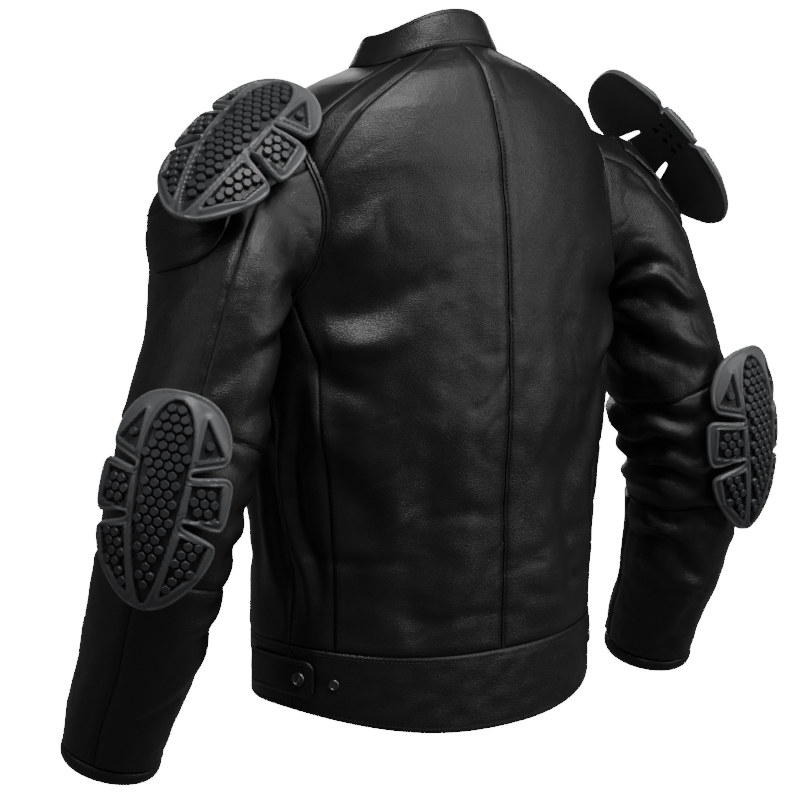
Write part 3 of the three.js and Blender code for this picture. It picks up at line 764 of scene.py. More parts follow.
def surface_line(surface, turn, share, lift, relief=band_relief, mirrored=False):
    turn, share = np.broadcast_arrays(np.asarray(turn, float), np.asarray(share, float))
    here = surface(turn, share)
    out = np.cross(surface(turn + 0.5, share) - surface(turn - 0.5, share),
                   surface(turn, share + 0.01) - surface(turn, share - 0.01))
    out = unit(out)
    seen = on_side(here, mirrored)
    return here + out * (relief(seen) + lift)[:, None], out


# Degrees between the ends of two band pieces and their seam.
BAND_INSET = 0.1
doubled("waistband_back_leather", band_point, SIDE_SEAM + BAND_INSET, 180 - SIDE_SEAM - BAND_INSET,
        "waistband_back")
for side in ("left", "right"):
    doubled(f"waistband_front_{side}_leather", band_point, float(front_edge(0.0)), SIDE_SEAM - BAND_INSET,
            f"waistband_front_{side}", side == "right")
collar_start = float(front_edge(1.0)) + 2.5
doubled("collar_leather", collar_point, collar_start, 180 - collar_start, "collar")
threads = []
turns = np.linspace(-86, 266, 700)
for share in (0.93, 0.06):
    threads.append(stitches("row", *surface_line(band_point, turns, share, -0.1)))
turns = np.linspace(collar_start + 3, 177 - collar_start, 320)
for share in (0.88, 0.12):
    threads.append(stitches("row", *surface_line(collar_point, turns, share, -0.1)))
settle(joined("band_and_collar_stitching", threads), THREAD_FINISH, ROOT)


def backing(name, surface_of, turns, depth, above_seam, below_seam):
    """The turned-under leather behind a seam that runs round the body."""
    steps = np.linspace(-below_seam, above_seam, 7)
    strip_rows = np.stack([surface_of(turns) + np.array([0, 0, rise]) for rise in steps], 0)
    flat = strip_rows[0] * (1, 1, 0)
    inward = unit(flat)
    obj = grid_mesh(name, strip_rows - inward[None] * depth)
    thicken(obj, 0.7)
    return settle(obj, LEATHER_FINISH, ROOT)


backing("waist_seam_allowance", lambda turn: body_point(turn, 0 * turn),
        np.linspace(-86, 266, 240), 4.4, 8, 7)
backing("collar_seam_allowance", lambda turn: body_point(turn, 1 + 0 * turn),
        np.linspace(collar_start + 1, 179 - collar_start, 160), 4.6, 6, 4)


def seam_strip(name, seam, bottom, top, mirrored, reach=7.0, depth=LEATHER + 0.5):
    """The turned-under leather behind a seam that runs up the body."""
    offsets, levels = np.meshgrid(np.linspace(-reach, reach, 7), np.linspace(bottom, top, 150))
    turns = seam(levels) + degrees_for(seam(levels), levels, offsets)
    points = body_point(turns, levels)
    seen = on_side(points, mirrored)
    drop = body_relief(seen, turn_of(seen)) * 0.9 - depth
    strip = grid_mesh(name, points + normals(points) * drop[..., None], mirrored=mirrored)
    cut_armhole(strip)
    thicken(strip, 0.8)
    return settle(strip, LEATHER_FINISH, ROOT)


seam_strip("back_seam_allowance", straight(90.0), 0.01, 0.99, False)
seam_strip("front_zip_flap", straight(-90.0), 0.01, 0.985, False, 16.0, LEATHER + 1.0)
for side in ("left", "right"):
    flip = side == "right"
    seam_strip(f"back_side_allowance_{side}", back_seam, 0.01, 0.99, flip)
    seam_strip(f"front_side_allowance_{side}", front_seam, 0.01, 0.99, flip)

loop_low, loop_high = (np.array(corner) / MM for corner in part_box("hanger_loop"))
share = np.linspace(0, 1, 33)
middle = (loop_low + loop_high) / 2
sag = (2 * share - 1) ** 2
loop_path = np.stack([loop_low[0] + (loop_high[0] - loop_low[0]) * share,
                      loop_low[1] + 2.4 + (loop_high[1] - loop_low[1] - 4) * sag,
                      loop_low[2] + 3.2 + (loop_high[2] - loop_low[2] - 6) * sag], 1)
breadth = np.array([-3.0, -2.6, 0.0, 2.6, 3.0])
loop_points = loop_path[:, None] + np.stack([0 * breadth, -0.3 + 0 * breadth, breadth], 1)[None]
loop = grid_mesh("hanger_loop_strap", loop_points[:, ::-1])
thicken(loop, 1.5)
settle(loop, LEATHER_FINISH, ROOT, ["hanger_loop"])

# ---- Sleeves ----
# Two-piece upper sleeves set into the armholes, a ring of leather round each elbow, two forearm
# panels and a bound cuff. The leather bunches inside the elbow and drags in folds from the armpit.

CUFF = 45.0
RINGS = np.array([
    (338, -34, -641, CUFF, CUFF, 3), (336, -20, -598, CUFF + 4, CUFF + 4, 5),
    (331, 9, -535, CUFF + 9, CUFF + 9, 8), (325, 28, -468, CUFF + 13, CUFF + 13, 12),
    (312, 40, -396, CUFF + 17, CUFF + 17, 17), (287, 36, -328, CUFF + 18, CUFF + 20, 20),
    (268, 31, -264, CUFF + 10, CUFF + 23, 22), (253, 25, -216, CUFF + 11, CUFF + 26, 36),
    (237, 10, -179, CUFF + 29, CUFF + 29, 68),
], float)
RING_SPAN = 1 / len(RINGS)
ELBOW = 4 * RING_SPAN
ELBOW_LOW, ELBOW_HIGH = ELBOW - RING_SPAN * 58 / 72, ELBOW + RING_SPAN * 58 / 72
CUFF_TOP = RING_SPAN * 16 / 50


def on_body(y, z):
    """The body's surface on the wearer's left, at this depth and height."""
    turn = np.degrees(np.arcsin(np.clip(y / chest_back, -0.9, 0.9)))
    level = 0.5 + (z + ARMHOLE_DROP) / body_length
    for _ in range(40):
        here = body_point(turn, level)
        by_turn = (body_point(turn + 1e-3, level) - here) / 1e-3
        by_level = (body_point(turn, level + 1e-3) - here) / 1e-3
        det = by_turn[:, 1] * by_level[:, 2] - by_level[:, 1] * by_turn[:, 2]
        off_y, off_z = y - here[:, 1], z - here[:, 2]
        turn = turn + 0.6 * (off_y * by_level[:, 2] - by_level[:, 1] * off_z) / det
        level = np.clip(level + 0.6 * (by_turn[:, 1] * off_z - off_y * by_turn[:, 2]) / det, 0.2, 0.97)
    return body_point(turn, level)


head_turns = np.arange(0, 361, 3.0)
head_angle = np.radians(head_turns)
HEAD = on_body((ARMHOLE_DEPTH - GAP) * np.sin(head_angle),
               (ARMHOLE_HEIGHT - GAP) * np.cos(head_angle) - ARMHOLE_DROP)
centres = RINGS[:, :3]
ways = centres[np.minimum(np.arange(9) + 1, 8)] - centres[np.maximum(np.arange(9) - 1, 0)]
ways = unit(ways)
raised = np.radians(RINGS[:, 5])
outers = np.stack([np.cos(raised), 0 * raised, np.sin(raised)], 1)
rears = np.cross(ways, outers)
rears = unit(rears)


def sleeve_point(turn, level):
    turn, level = np.broadcast_arrays(np.asarray(turn, float), np.asarray(level, float))
    shape = turn.shape
    angle, flat = np.radians(turn).ravel(), np.clip(level, 0, 1).ravel()
    points = (centres[:, None] + outers[:, None] * (RINGS[:, 3:4] * np.cos(angle))[..., None]
              + rears[:, None] * (RINGS[:, 4:5] * np.sin(angle))[..., None])
    head = np.stack([np.interp(turn.ravel() % 360, head_turns, HEAD[:, k]) for k in range(3)], 1)
    return curve(np.concatenate([points, head[None]]), flat).reshape(*shape, 3)


# (turn, level) to (turn, level), then how high and how wide.
SLEEVE_FOLDS = [
    (160, 0.93, 92, 0.79, 5, 12), (176, 0.89, 84, 0.72, -4.5, 11), (186, 0.85, 78, 0.665, 5.5, 12),
    (196, 0.80, 70, 0.61, -4.5, 11), (200, 0.75, 66, 0.565, 5, 11), (205, 0.70, 84, 0.53, -4, 9),
    (214, 0.66, 110, 0.515, 5, 9), (40, 0.86, 8, 0.70, 3, 13), (30, 0.80, -10, 0.62, -3, 12),
    (20, 0.72, -24, 0.55, 3, 12), (60, 0.93, 44, 0.80, -3, 12), (-60, 0.86, -20, 0.66, 3, 13),
    (236, 0.535, 118, 0.50, -6.5, 8), (242, 0.505, 122, 0.475, 6.5, 9), (245, 0.475, 120, 0.447, -6.5, 7),
    (246, 0.447, 118, 0.424, 6.5, 9), (244, 0.42, 116, 0.397, -6, 7), (240, 0.394, 112, 0.362, 5.5, 9),
    (228, 0.365, 104, 0.325, -4.5, 8), (215, 0.34, 98, 0.288, 4.5, 9), (196, 0.31, 90, 0.25, -3.5, 9),
    (180, 0.27, 84, 0.20, 3.5, 10), (150, 0.22, 60, 0.15, -2.6, 9), (60, 0.30, 10, 0.20, 2.6, 11),
    (30, 0.24, -30, 0.14, -2.6, 11), (110, 0.20, 140, 0.08, 2.4, 9), (270, 0.32, 330, 0.22, 3.5, 11),
    (255, 0.25, 320, 0.15, -3, 10), (300, 0.60, 350, 0.50, 3, 12), (280, 0.52, 340, 0.43, -4, 9),
    (60, 0.54, 96, 0.50, -3.5, 8), (52, 0.50, 100, 0.475, 3.5, 8),
]


def sleeve_relief(points, turn, level, mirrored=False):
    turn = (turn + 90) % 360 - 90
    seed = 60 if mirrored else 40
    across = turn + 7 * waves(points, 75, seed)
    up = level * 620 + 6 * waves(points, 75, seed + 1)
    total = np.zeros(turn.shape)
    for shift in (-360, 0, 360):
        lines = [(a + shift, b * 620, c + shift, d * 620, h, w) for a, b, c, d, h, w in SLEEVE_FOLDS]
        total += folds(across, up, lines)
    crease = np.exp(-(waves(points, 58, seed + 2, (1, 1, 0.7)) / 0.12) ** 2)
    total += 1.2 * waves(points, 62, seed + 3, (1, 1, 1.5)) - 0.8 * crease + 0.4 * waves(points, 25, seed + 4)
    calm = 1.0 if mirrored else 0.52
    return total * calm * np.clip(np.minimum(level, 1 - level) / 0.035, 0.15, 1)


def sleeve_piece(name, start, end, bottom, top, node_name, mirrored, body, closed=False, depth=0.0,
                 thickness=LEATHER, pitch=3.2, material=LEATHER_FINISH, lift=0.0):
    inset = 0.0 if closed else math.degrees(GAP / 2 / 55)
    rise = GAP / 2 * RING_SPAN / 70

    def turn_at(u):
        return start + inset + (end - start - 2 * inset) * u

    def level_at(v):
        return bottom + rise + (top - bottom - 2 * rise) * v

    def place(u, v):
        return sleeve_point(turn_at(u), level_at(v))

    u, v, edge = lay_out(place, pitch, "bt" if closed else "lrbt")
    turn, level = turn_at(u), level_at(v)
    points = place(u, v)
    height = sleeve_relief(points, turn, level, mirrored) + (0 if depth else 1) * seam_dip(edge) + lift
    if closed:
        points[:, -1] = points[:, 0]
        height[:, -1] = height[:, 0]
    points = points + normals(points, closed) * (height - depth)[..., None]
    obj = grid_mesh(name, points, closed=closed, mirrored=mirrored)
    thicken(obj, thickness)
    return settle(obj, material, body, [node_name])


def sleeve_line(turn, level, lift, mirrored):
    turn, level = np.broadcast_arrays(np.asarray(turn, float), np.asarray(level, float))
    here = sleeve_point(turn, level)
    top = np.minimum(level + 0.003, 1)
    out = np.cross(sleeve_point(turn + 1, level) - sleeve_point(turn - 1, level),
                   sleeve_point(turn, top) - sleeve_point(turn, top - 0.006))
    out = unit(out)
    return here + out * (sleeve_relief(here, turn, level, mirrored) + lift)[:, None], out


REAR, FRONT, FOREARM_REAR, FOREARM_FRONT = 52.0, -58.0, 37.0, 205.0
# Degrees from a seam to the stitches beside it, and a reach each way from the elbow joint; the pieces across
# the elbow are baked in place and do not bend.
BESIDE = 4.6
BEND_REACH = Vector((0, 0, 0.048))
for side in ("left", "right"):
    flip = side == "right"
    forearm = f"forearm_{side}"
    bend_at = Vector(joints[f"elbow_{side}"]["pos_m"])
    across_bend = (ROOT, forearm, bend_at + BEND_REACH, bend_at - BEND_REACH)
    pieces = [
        ("upper_sleeve_outer", FRONT, REAR, ELBOW_HIGH, 1, ROOT, 0.0),
        ("upper_sleeve_under", REAR, 360 + FRONT, ELBOW_HIGH, 1, ROOT, 0.0),
        ("elbow_panel", 0, 360, ELBOW_LOW, ELBOW_HIGH, across_bend, 0.0),
        ("forearm_rear", FOREARM_REAR, FOREARM_FRONT, CUFF_TOP, ELBOW_LOW, forearm, 0.0),
        ("forearm_front", FOREARM_FRONT, 360 + FOREARM_REAR, CUFF_TOP, ELBOW_LOW, forearm, 0.0),
        ("cuff_binding", 0, 360, 0, CUFF_TOP, forearm, 0.5),
    ]
    for piece, start, end, bottom, top, body, lift in pieces:
        node_name = f"{piece}_{side}"
        sleeve_piece(node_name + "_skin", start, end, bottom, top, node_name, flip, body,
                     end - start == 360, lift=lift)
    sleeve_piece(f"sleeve_lining_{side}_cloth", 0, 360, 0.01, 0.82, f"sleeve_lining_{side}", flip,
                 across_bend, True, depth=LINING_DEPTH + 1.8, thickness=1.2, pitch=8.0,
                 material=LINING_FINISH)
    high = np.linspace(ELBOW_HIGH + 0.004, 0.985, 160)
    low = np.linspace(CUFF_TOP + 0.004, ELBOW_LOW - 0.004, 130)
    around = np.linspace(0, 360, 260)
    lines = [
        (ROOT, REAR - BESIDE, high, 0.1),
        (ROOT, FRONT + BESIDE, high, 0.1),
        (ROOT, around, ELBOW_HIGH + 0.0075, 0.1),
        (forearm, FOREARM_REAR - BESIDE, low, 0.1),
        (forearm, FOREARM_FRONT + BESIDE, low, 0.1),
        (forearm, around, ELBOW_LOW - 0.0075, 0.1),
        (forearm, around, CUFF_TOP - 0.0085, 0.45),
    ]
    rows = {ROOT: [], forearm: []}
    for body, turn, level, lift in lines:
        rows[body].append(stitches("row", *sleeve_line(turn, level, lift, flip), flip))
    settle(joined(f"upper_sleeve_stitching_{side}", rows[ROOT]), THREAD_FINISH, ROOT)
    settle(joined(f"forearm_stitching_{side}", rows[forearm]), THREAD_FINISH, forearm)
    for place, turn in (("rear", REAR), ("front", FRONT)):
        offsets, levels = np.meshgrid(np.linspace(-7, 7, 7), np.linspace(ELBOW_HIGH, 0.985, 120))
        turns = turn + np.degrees(offsets / 62)
        points = sleeve_point(turns, levels)
        drop = sleeve_relief(points, turns, levels, flip) - LEATHER - 0.7
        behind = points + normals(points) * drop[..., None]
        strip = grid_mesh(f"sleeve_{place}_allowance_{side}", behind, mirrored=flip)
        thicken(strip, 0.8)
        settle(strip, LEATHER_FINISH, ROOT)
    ring = np.linspace(0, 360, 241)
    edge_line = np.stack([np.interp(ring, head_turns, HEAD[:, k]) for k in range(3)], 1)
    out = np.array([1.0, 0, 0]) + 0 * edge_line
    welt = tube(f"armhole_piping_{side}", edge_line + out, out, 1.9, closed=True, mirrored=flip)
    settle(welt, LEATHER_FINISH, ROOT)
    inner_line = edge_line - out * 3.6
    roll = tube(f"armhole_allowance_{side}", inner_line, out, 3.9, closed=True, mirrored=flip)
    settle(roll, LEATHER_FINISH, ROOT)

# ---- Padded shoulder patches ----
# A quilted pad of leather under each shoulder guard, sewn down with a double row round its edge
# and quilted across in lines.

PATCH_START, PATCH_END, PATCH_TOP = -46.0, 38.0, 0.93
PATCH_BOTTOM = 7 * RING_SPAN
for side in ("left", "right"):
    flip = side == "right"

    def patch_place(u, v):
        low = PATCH_BOTTOM - 0.018 * np.sin(math.pi * u)
        corner = 1 - np.sqrt(1 - np.clip(1 - np.minimum(u, 1 - u) / 0.24, 0, 1) ** 2)
        low = low + 0.055 * corner
        return sleeve_point(PATCH_START + (PATCH_END - PATCH_START) * u, low + (PATCH_TOP - low) * v)

    u, v, edge = lay_out(patch_place, 2.2)
    points = patch_place(u, v)
    turn = PATCH_START + (PATCH_END - PATCH_START) * u
    level = PATCH_BOTTOM + (PATCH_TOP - PATCH_BOTTOM) * v
    drape = sleeve_relief(points, turn, level, flip) * 0.6
    quilt = np.abs(np.sin(math.pi * 4 * v))
    inner = np.clip((edge - 9) / 3, 0, 1)
    height = LEATHER + GAP + drape - 2.4 * np.exp(-(edge / 1.8) ** 2)
    height -= 0.5 * np.exp(-((edge - 4) / 0.9) ** 2)
    height += inner * (1.6 * quilt ** 0.5 - 0.8)
    raised_points = points + normals(points) * height[..., None]
    patch = grid_mesh(f"shoulder_patch_{side}_pad", raised_points, mirrored=flip)
    thicken(patch, LEATHER)
    settle(patch, LEATHER_FINISH, ROOT, [f"shoulder_patch_{side}"])

# ---- Moulded armour guards ----
# Soft dark grey mouldings, one solid piece each: a smooth flange with a rolled rim, three pairs of
# lobes cut apart by slots, and sunken fields filled with raised hexagonal studs.

GUARD_LENGTH, GUARD_WIDTH, GUARD_THICKNESS = 196.0, 136.0, 8.0
GUARD_CURVE, GUARD_ARCH = 82.0, 250.0
VENT_RADIUS = 3.2


# Ends of the guards' colour mix: the dark end is painted shade, as on the floor between the studs, and the
# pale end is painted light, as on the rolled rim.
GUARD_SHADED, GUARD_LIT = (0.012, 0.013, 0.014, 1), (0.13, 0.135, 0.14, 1)


def guard_shade(tree, shader, place):
    # The tone attribute is the moulding's grey with painted light and painted shade in it; the cloud noise
    # adds uneven tone.
    tone = node(tree, "Attribute", "Fac", {"attribute_name": "tone"})
    cloud = node(tree, "TexNoise", 0, Vector=place, Scale=30.0, Detail=5.0)
    fine = node(tree, "TexNoise", 0, Vector=place, Scale=1900.0, Detail=2.0)
    share = (tone + cloud * 0.12 - 0.06).clamp(0.0, 1.0)
    plug(tree, shader.inputs["Base Color"], between(tree, share, GUARD_SHADED, GUARD_LIT))
    plug(tree, shader.inputs["Roughness"], 0.36 + cloud * 0.14)
    plug(tree, shader.inputs["Normal"], bump(tree, fine, 0.00008, 0.35))


GUARD_FINISH = finish_of("guard_moulding", guard_shade, Specular_IOR_Level=0.45)
half, tip = GUARD_WIDTH / 2, GUARD_LENGTH / 2
# Half of the outline, from the top down the right side, as shares of half the width and length.
OUTLINE = [
    (0, 1), (0.34, 0.975), (0.62, 0.86), (0.82, 0.66), (0.87, 0.47), (0.80, 0.385), (0.72, 0.37),
    (0.40, 0.305), (0.37, 0.28), (0.40, 0.26), (0.82, 0.31), (0.93, 0.29), (1.0, 0.22), (1.0, -0.06),
    (0.95, -0.165), (0.85, -0.2), (0.42, -0.135), (0.38, -0.16), (0.41, -0.19), (0.80, -0.275),
    (0.89, -0.32), (0.885, -0.42), (0.76, -0.60), (0.54, -0.79), (0.28, -0.945), (0, -1.0),
]
right_side = [(x * half, y * tip) for x, y in OUTLINE]
OUTLINE_LOOP = np.array(right_side + [(-x, y) for x, y in right_side[-2:0:-1]])
for _ in range(2):
    after = np.roll(OUTLINE_LOOP, -1, 0)
    cut_corners = [OUTLINE_LOOP * 0.75 + after * 0.25, OUTLINE_LOOP * 0.25 + after * 0.75]
    OUTLINE_LOOP = np.stack(cut_corners, 1).reshape(-1, 2)


def signed_distance(x, y, loop):
    """Distance inside (minus) or outside a closed outline, and the nearest point on it."""
    place = np.stack([x, y], -1)[..., None, :]
    start, end = loop, np.roll(loop, -1, 0)
    run = end - start
    share = np.clip(((place - start) * run).sum(-1) / (run ** 2).sum(-1), 0, 1)
    near = start + share[..., None] * run
    gap = np.linalg.norm(place - near, axis=-1)
    best = gap.argmin(-1)
    climb = np.where(run[:, 1] == 0, 1e-9, run[:, 1])
    reached = start[:, 0] + (place[..., 1] - start[:, 1]) * run[:, 0] / climb
    level_with = (start[:, 1] > place[..., 1]) != (end[:, 1] > place[..., 1])
    crossing = level_with & (place[..., 0] < reached)
    inside = crossing.sum(-1) % 2 == 1
    distance = np.take_along_axis(gap, best[..., None], -1)[..., 0]
    nearest = np.take_along_axis(near, best[..., None, None].repeat(2, -1), -2)[..., 0, :]
    return np.where(inside, -distance, distance), nearest


def lens_half(y):
    """Half the width of the middle field at this height."""
    y = np.asarray(y, float)
    top = 22 * np.sqrt(np.clip(1 - ((y - 40) / 48) ** 2, 0, 1))
    low = 22 * np.clip(1 - ((40 - y) / 132) ** 2, 0, 1) ** 0.75
    return np.where(y > 40, top, low)


lens_y = np.linspace(-90, 87.5, 40)
LENS = np.array([(lens_half(y), y) for y in lens_y] + [(-lens_half(y), y) for y in lens_y[::-1]])
SIDE_FIELDS = [
    [(29, 75), (50, 47), (29, 41)],
    [(28, 19), (54, 21), (57, -7), (28, -11)],
    [(26, -27), (51, -32), (44, -56), (15, -82)],
]
FIELDS = [LENS]
for field in SIDE_FIELDS:
    FIELDS.append(np.array(field, float))
    FIELDS.append(np.array([(-x, y) for x, y in field[::-1]], float))


def plate(x, y):
    around = x / GUARD_CURVE
    arch = GUARD_ARCH - np.sqrt(GUARD_ARCH ** 2 - y ** 2)
    return np.stack([GUARD_CURVE * np.sin(around), y, GUARD_CURVE * (np.cos(around) - 1) - arch], -1)


def plate_normal(x, y):
    out = np.cross(plate(x + 0.5, y) - plate(x - 0.5, y), plate(x, y + 0.5) - plate(x, y - 0.5))
    return unit(out)


def unrolled(x):
    return GUARD_CURVE * np.arcsin(np.clip(x / GUARD_CURVE, -1, 1))


def guard_relief_and_painted_light(x, y):
    """How far the outer face lies above the plate, and its tone: the moulding's grey with painted light and
    painted shade.
    """
    edge = -signed_distance(x, y, OUTLINE_LOOP)[0]
    height = -1.8 + 0.7 * np.exp(-((edge - 1.9) / 1.1) ** 2) - 1.3 * np.exp(-(edge / 0.8) ** 2)
    height -= 0.3 * np.exp(-((edge - 4.2) / 0.9) ** 2)
    slot = 0.5 + 0.5 * np.tanh((66 - abs(x) - 0.35 * abs(y)) / 5)
    groove = np.exp(-((edge - 5.2) / 0.8) ** 2) + np.exp(-((edge - 8.2) / 0.8) ** 2)
    near_slot = np.minimum.reduce([np.hypot(np.maximum(0, 26 - abs(x)), y - sy) for sy in (27.5, -16.0)])
    height -= 0.8 * groove * slot * np.exp(-(near_slot / 15) ** 2)
    # Painted light: the rolled rim is painted paler, as light shows through the thin edge, and painted shade
    # darkens the dip just inside it.
    tone = 0.66 + 0.34 * np.exp(-((edge - 1.6) / 1.3) ** 2) - 0.10 * np.exp(-((edge - 4.4) / 1.2) ** 2)
    # Painted paler towards the top, and painted shade darkens the grooves beside the slots.
    tone += 0.16 * share_between(y, 40, 98) - 0.22 * groove * slot * np.exp(-(near_slot / 15) ** 2)
    fields = np.minimum.reduce([signed_distance(x, y, loop)[0] for loop in FIELDS])
    rise = np.clip(1 - fields / 9, 0, 1)
    height += 1.7 * rise * rise * (3 - 2 * rise) + 0.7 * np.exp(-((fields - 2.6) / 1.3) ** 2)
    # Painted shade darkens the moulding towards the stud fields, and a painted highlight lightens the raised
    # lip round them.
    tone -= 0.30 * np.clip(1 - fields / 7, 0, 1) - 0.16 * np.exp(-((fields - 2.6) / 1.3) ** 2)
    # Painted shade: the sunken floor of the fields between the studs is painted almost black.
    sunk = np.clip(-fields / 0.9 + 0.3, 0, 1)
    return height * (1 - sunk) - 3.6 * sunk, tone * (1 - sunk) + 0.02 * sunk


def make_guard(name):
    """One guard about its own origin: length along Y, outer side towards +Z."""
    step = 1.15
    columns, lines = int((GUARD_WIDTH + 6) / step), int((GUARD_LENGTH + 6) / step)
    x, y = np.meshgrid(np.linspace(-half - 3, half + 3, columns), np.linspace(-tip - 3, tip + 3, lines))
    bpy.ops.mesh.primitive_grid_add(x_subdivisions=columns - 1, y_subdivisions=lines - 1, size=1)
    obj = bpy.context.object
    obj.name = obj.data.name = name
    obj.data.vertices.foreach_set("co", np.stack([x, y, 0 * x], -1).reshape(-1))
    mesh = bmesh.new()
    mesh.from_mesh(obj.data)
    middles = np.array([face.calc_center_median()[:2] for face in mesh.faces])
    away = signed_distance(middles[:, 0], middles[:, 1], OUTLINE_LOOP)[0]
    mesh.faces.ensure_lookup_table()
    bmesh.ops.delete(mesh, geom=[f for f, d in zip(mesh.faces[:], away) if d > 0], context="FACES")
    bmesh.ops.delete(mesh, geom=[v for v in mesh.verts if not v.link_faces], context="VERTS")
    rim = [v for v in mesh.verts if v.is_boundary]
    spots = np.array([v.co[:2] for v in rim])
    for vertex, near in zip(rim, signed_distance(spots[:, 0], spots[:, 1], OUTLINE_LOOP)[1]):
        vertex.co.x, vertex.co.y = near
    mesh.to_mesh(obj.data)
    mesh.free()
    flat = np.array([v.co for v in obj.data.vertices])
    x, y = flat[:, 0], flat[:, 1]
    height, tone = guard_relief_and_painted_light(x, y)
    outer = plate(x, y) + plate_normal(x, y) * height[:, None]
    edge = -signed_distance(x, y, OUTLINE_LOOP)[0]
    holes = [(way * 7, row * 14 + 3) for way in (-1, 1) for row in (-1, 0, 1)]
    vents = np.minimum.reduce([np.hypot(x - hole_x, y - hole_y) for hole_x, hole_y in holes])
    hollow = 2.6 * (vents < VENT_RADIUS)
    inner = plate(x, y) - plate_normal(x, y) * (GUARD_THICKNESS - 1.2 * np.exp(-edge / 1.5) - hollow)[:, None]
    modifier = obj.modifiers.new("thickness", "SOLIDIFY")
    modifier.thickness = 1.0
    modifier.offset = -1
    apply_all(obj)
    obj.data.vertices.foreach_set("co", np.vstack([outer, inner]).reshape(-1))
    # Inner face: the vent hollows are painted black as painted shade, and the rest is painted pale, paler
    # near the edge, as painted light on the shaded inside.
    painted_light_tones = np.concatenate([tone, np.where(vents < VENT_RADIUS, 0.0, 0.75 + 0.2 * np.exp(-edge / 2))])
    studs = guard_studs(name + "_studs")
    obj.data.attributes.new("tone", "FLOAT", "POINT").data.foreach_set("value", painted_light_tones)
    obj.data.transform(Matrix.Scale(MM, 4))
    return joined(name, [obj, studs])


def guard_studs(name):
    bpy.ops.mesh.primitive_cylinder_add(vertices=6, radius=1, depth=1)
    base = bpy.context.object
    bevel = base.modifiers.new("soft", "BEVEL")
    bevel.width = 0.16
    bevel.segments = 1
    apply_all(base)
    radius, tall = 4.9, 4.4
    for vertex in base.data.vertices:
        taper = 0.9 if vertex.co.z > 0 else 1.0
        vertex.co = (vertex.co.x * radius * taper, vertex.co.y * radius * taper, vertex.co.z * tall)
    pitch = 9.3
    spots = []
    for number, field in enumerate(FIELDS):
        middle = field.mean(0) if number else np.array([0, 40.0])
        for line in range(-16, 17):
            for place in range(-6, 7):
                spot = middle + ((place + 0.5 * (line % 2)) * pitch, line * pitch * 0.866)
                reach = signed_distance(spot[0], spot[1], field)[0]
                if reach < (-2.6 if number else -3.2):
                    spots.append(spot)
    spots = np.array(spots)
    x, y = spots[:, 0], spots[:, 1]
    out = plate_normal(x, y)
    up = np.array([0.0, 1, 0]) - out * out[:, 1:2]
    up = unit(up)
    studs = repeated(name, base, plate(x, y) - out * 1.7, np.cross(up, out), up, out)
    # Painted shade: the studs are painted darker than the flange, for the shading of the thick moulding.
    painted_light_tones = np.full(len(studs.data.vertices), 0.2)
    studs.data.attributes.new("tone", "FLOAT", "POINT").data.foreach_set("value", painted_light_tones)
    return studs


def node_axes(node_name, outward, upward):
    """The middle and the axes of a CAD piece: Y is nearest to upward and Z faces outward."""
    corners = np.array([v.co for v in bpy.data.objects[node_name].data.vertices], float)
    outward, upward = np.array(outward, float), np.array(upward, float)
    spread = np.linalg.eigh(np.cov((corners - corners.mean(0)).T))[1].T
    z = spread[np.argmax(abs(spread @ outward))]
    z = z * np.sign(z @ outward)
    rest = [axis for axis in spread if abs(axis @ z) < 0.5]
    y = rest[int(np.argmax([abs(axis @ upward) for axis in rest]))]
    y = y * np.sign(y @ upward)
    x = np.cross(y, z)
    local = corners @ np.stack([x, y, z], 1)
    return corners, (x, y, z), local.min(0), local.max(0)


def matrix_of(x, y, z, origin):
    made = Matrix.Identity(4)
    for column, axis in enumerate((x, y, z, origin)):
        for line in range(3):
            made[line][column] = float(axis[line])
    return made


for place in ("elbow", "shoulder"):
    for side in ("left", "right"):
        name = f"{place}_guard_{side}"
        z = np.array(joints[f"{name}_lift"]["axis"])
        hint = {"elbow": (-0.1, 0.1, 1.0), "shoulder": (-0.6 if side == "left" else 0.3, -0.2, 0.75)}[place]
        corners, axes, _, _ = node_axes(name, z, hint)
        y = axes[1] - z * (axes[1] @ z)
        y /= np.linalg.norm(y)
        x = np.cross(y, z)
        local = corners @ np.stack([x, y, z], 1)
        low, high = local.min(0), local.max(0)
        origin = x * (low[0] + high[0]) / 2 + y * (low[1] + high[1]) / 2 + z * high[2]
        guard = make_guard(name + "_moulding")
        guard.data.transform(matrix_of(x, y, z, origin))
        settle(guard, GUARD_FINISH, name, [name], angle=31)

# ---- Waist tabs and collar tab ----
# Straps of doubled leather with rounded ends, edge-stitched, each held shut by a snap.

TAB_HEIGHT, TAB_DROP, TAB_THICKNESS = 34.0, 11.0, 4.0
TAB_STITCH_INSET = 3.8


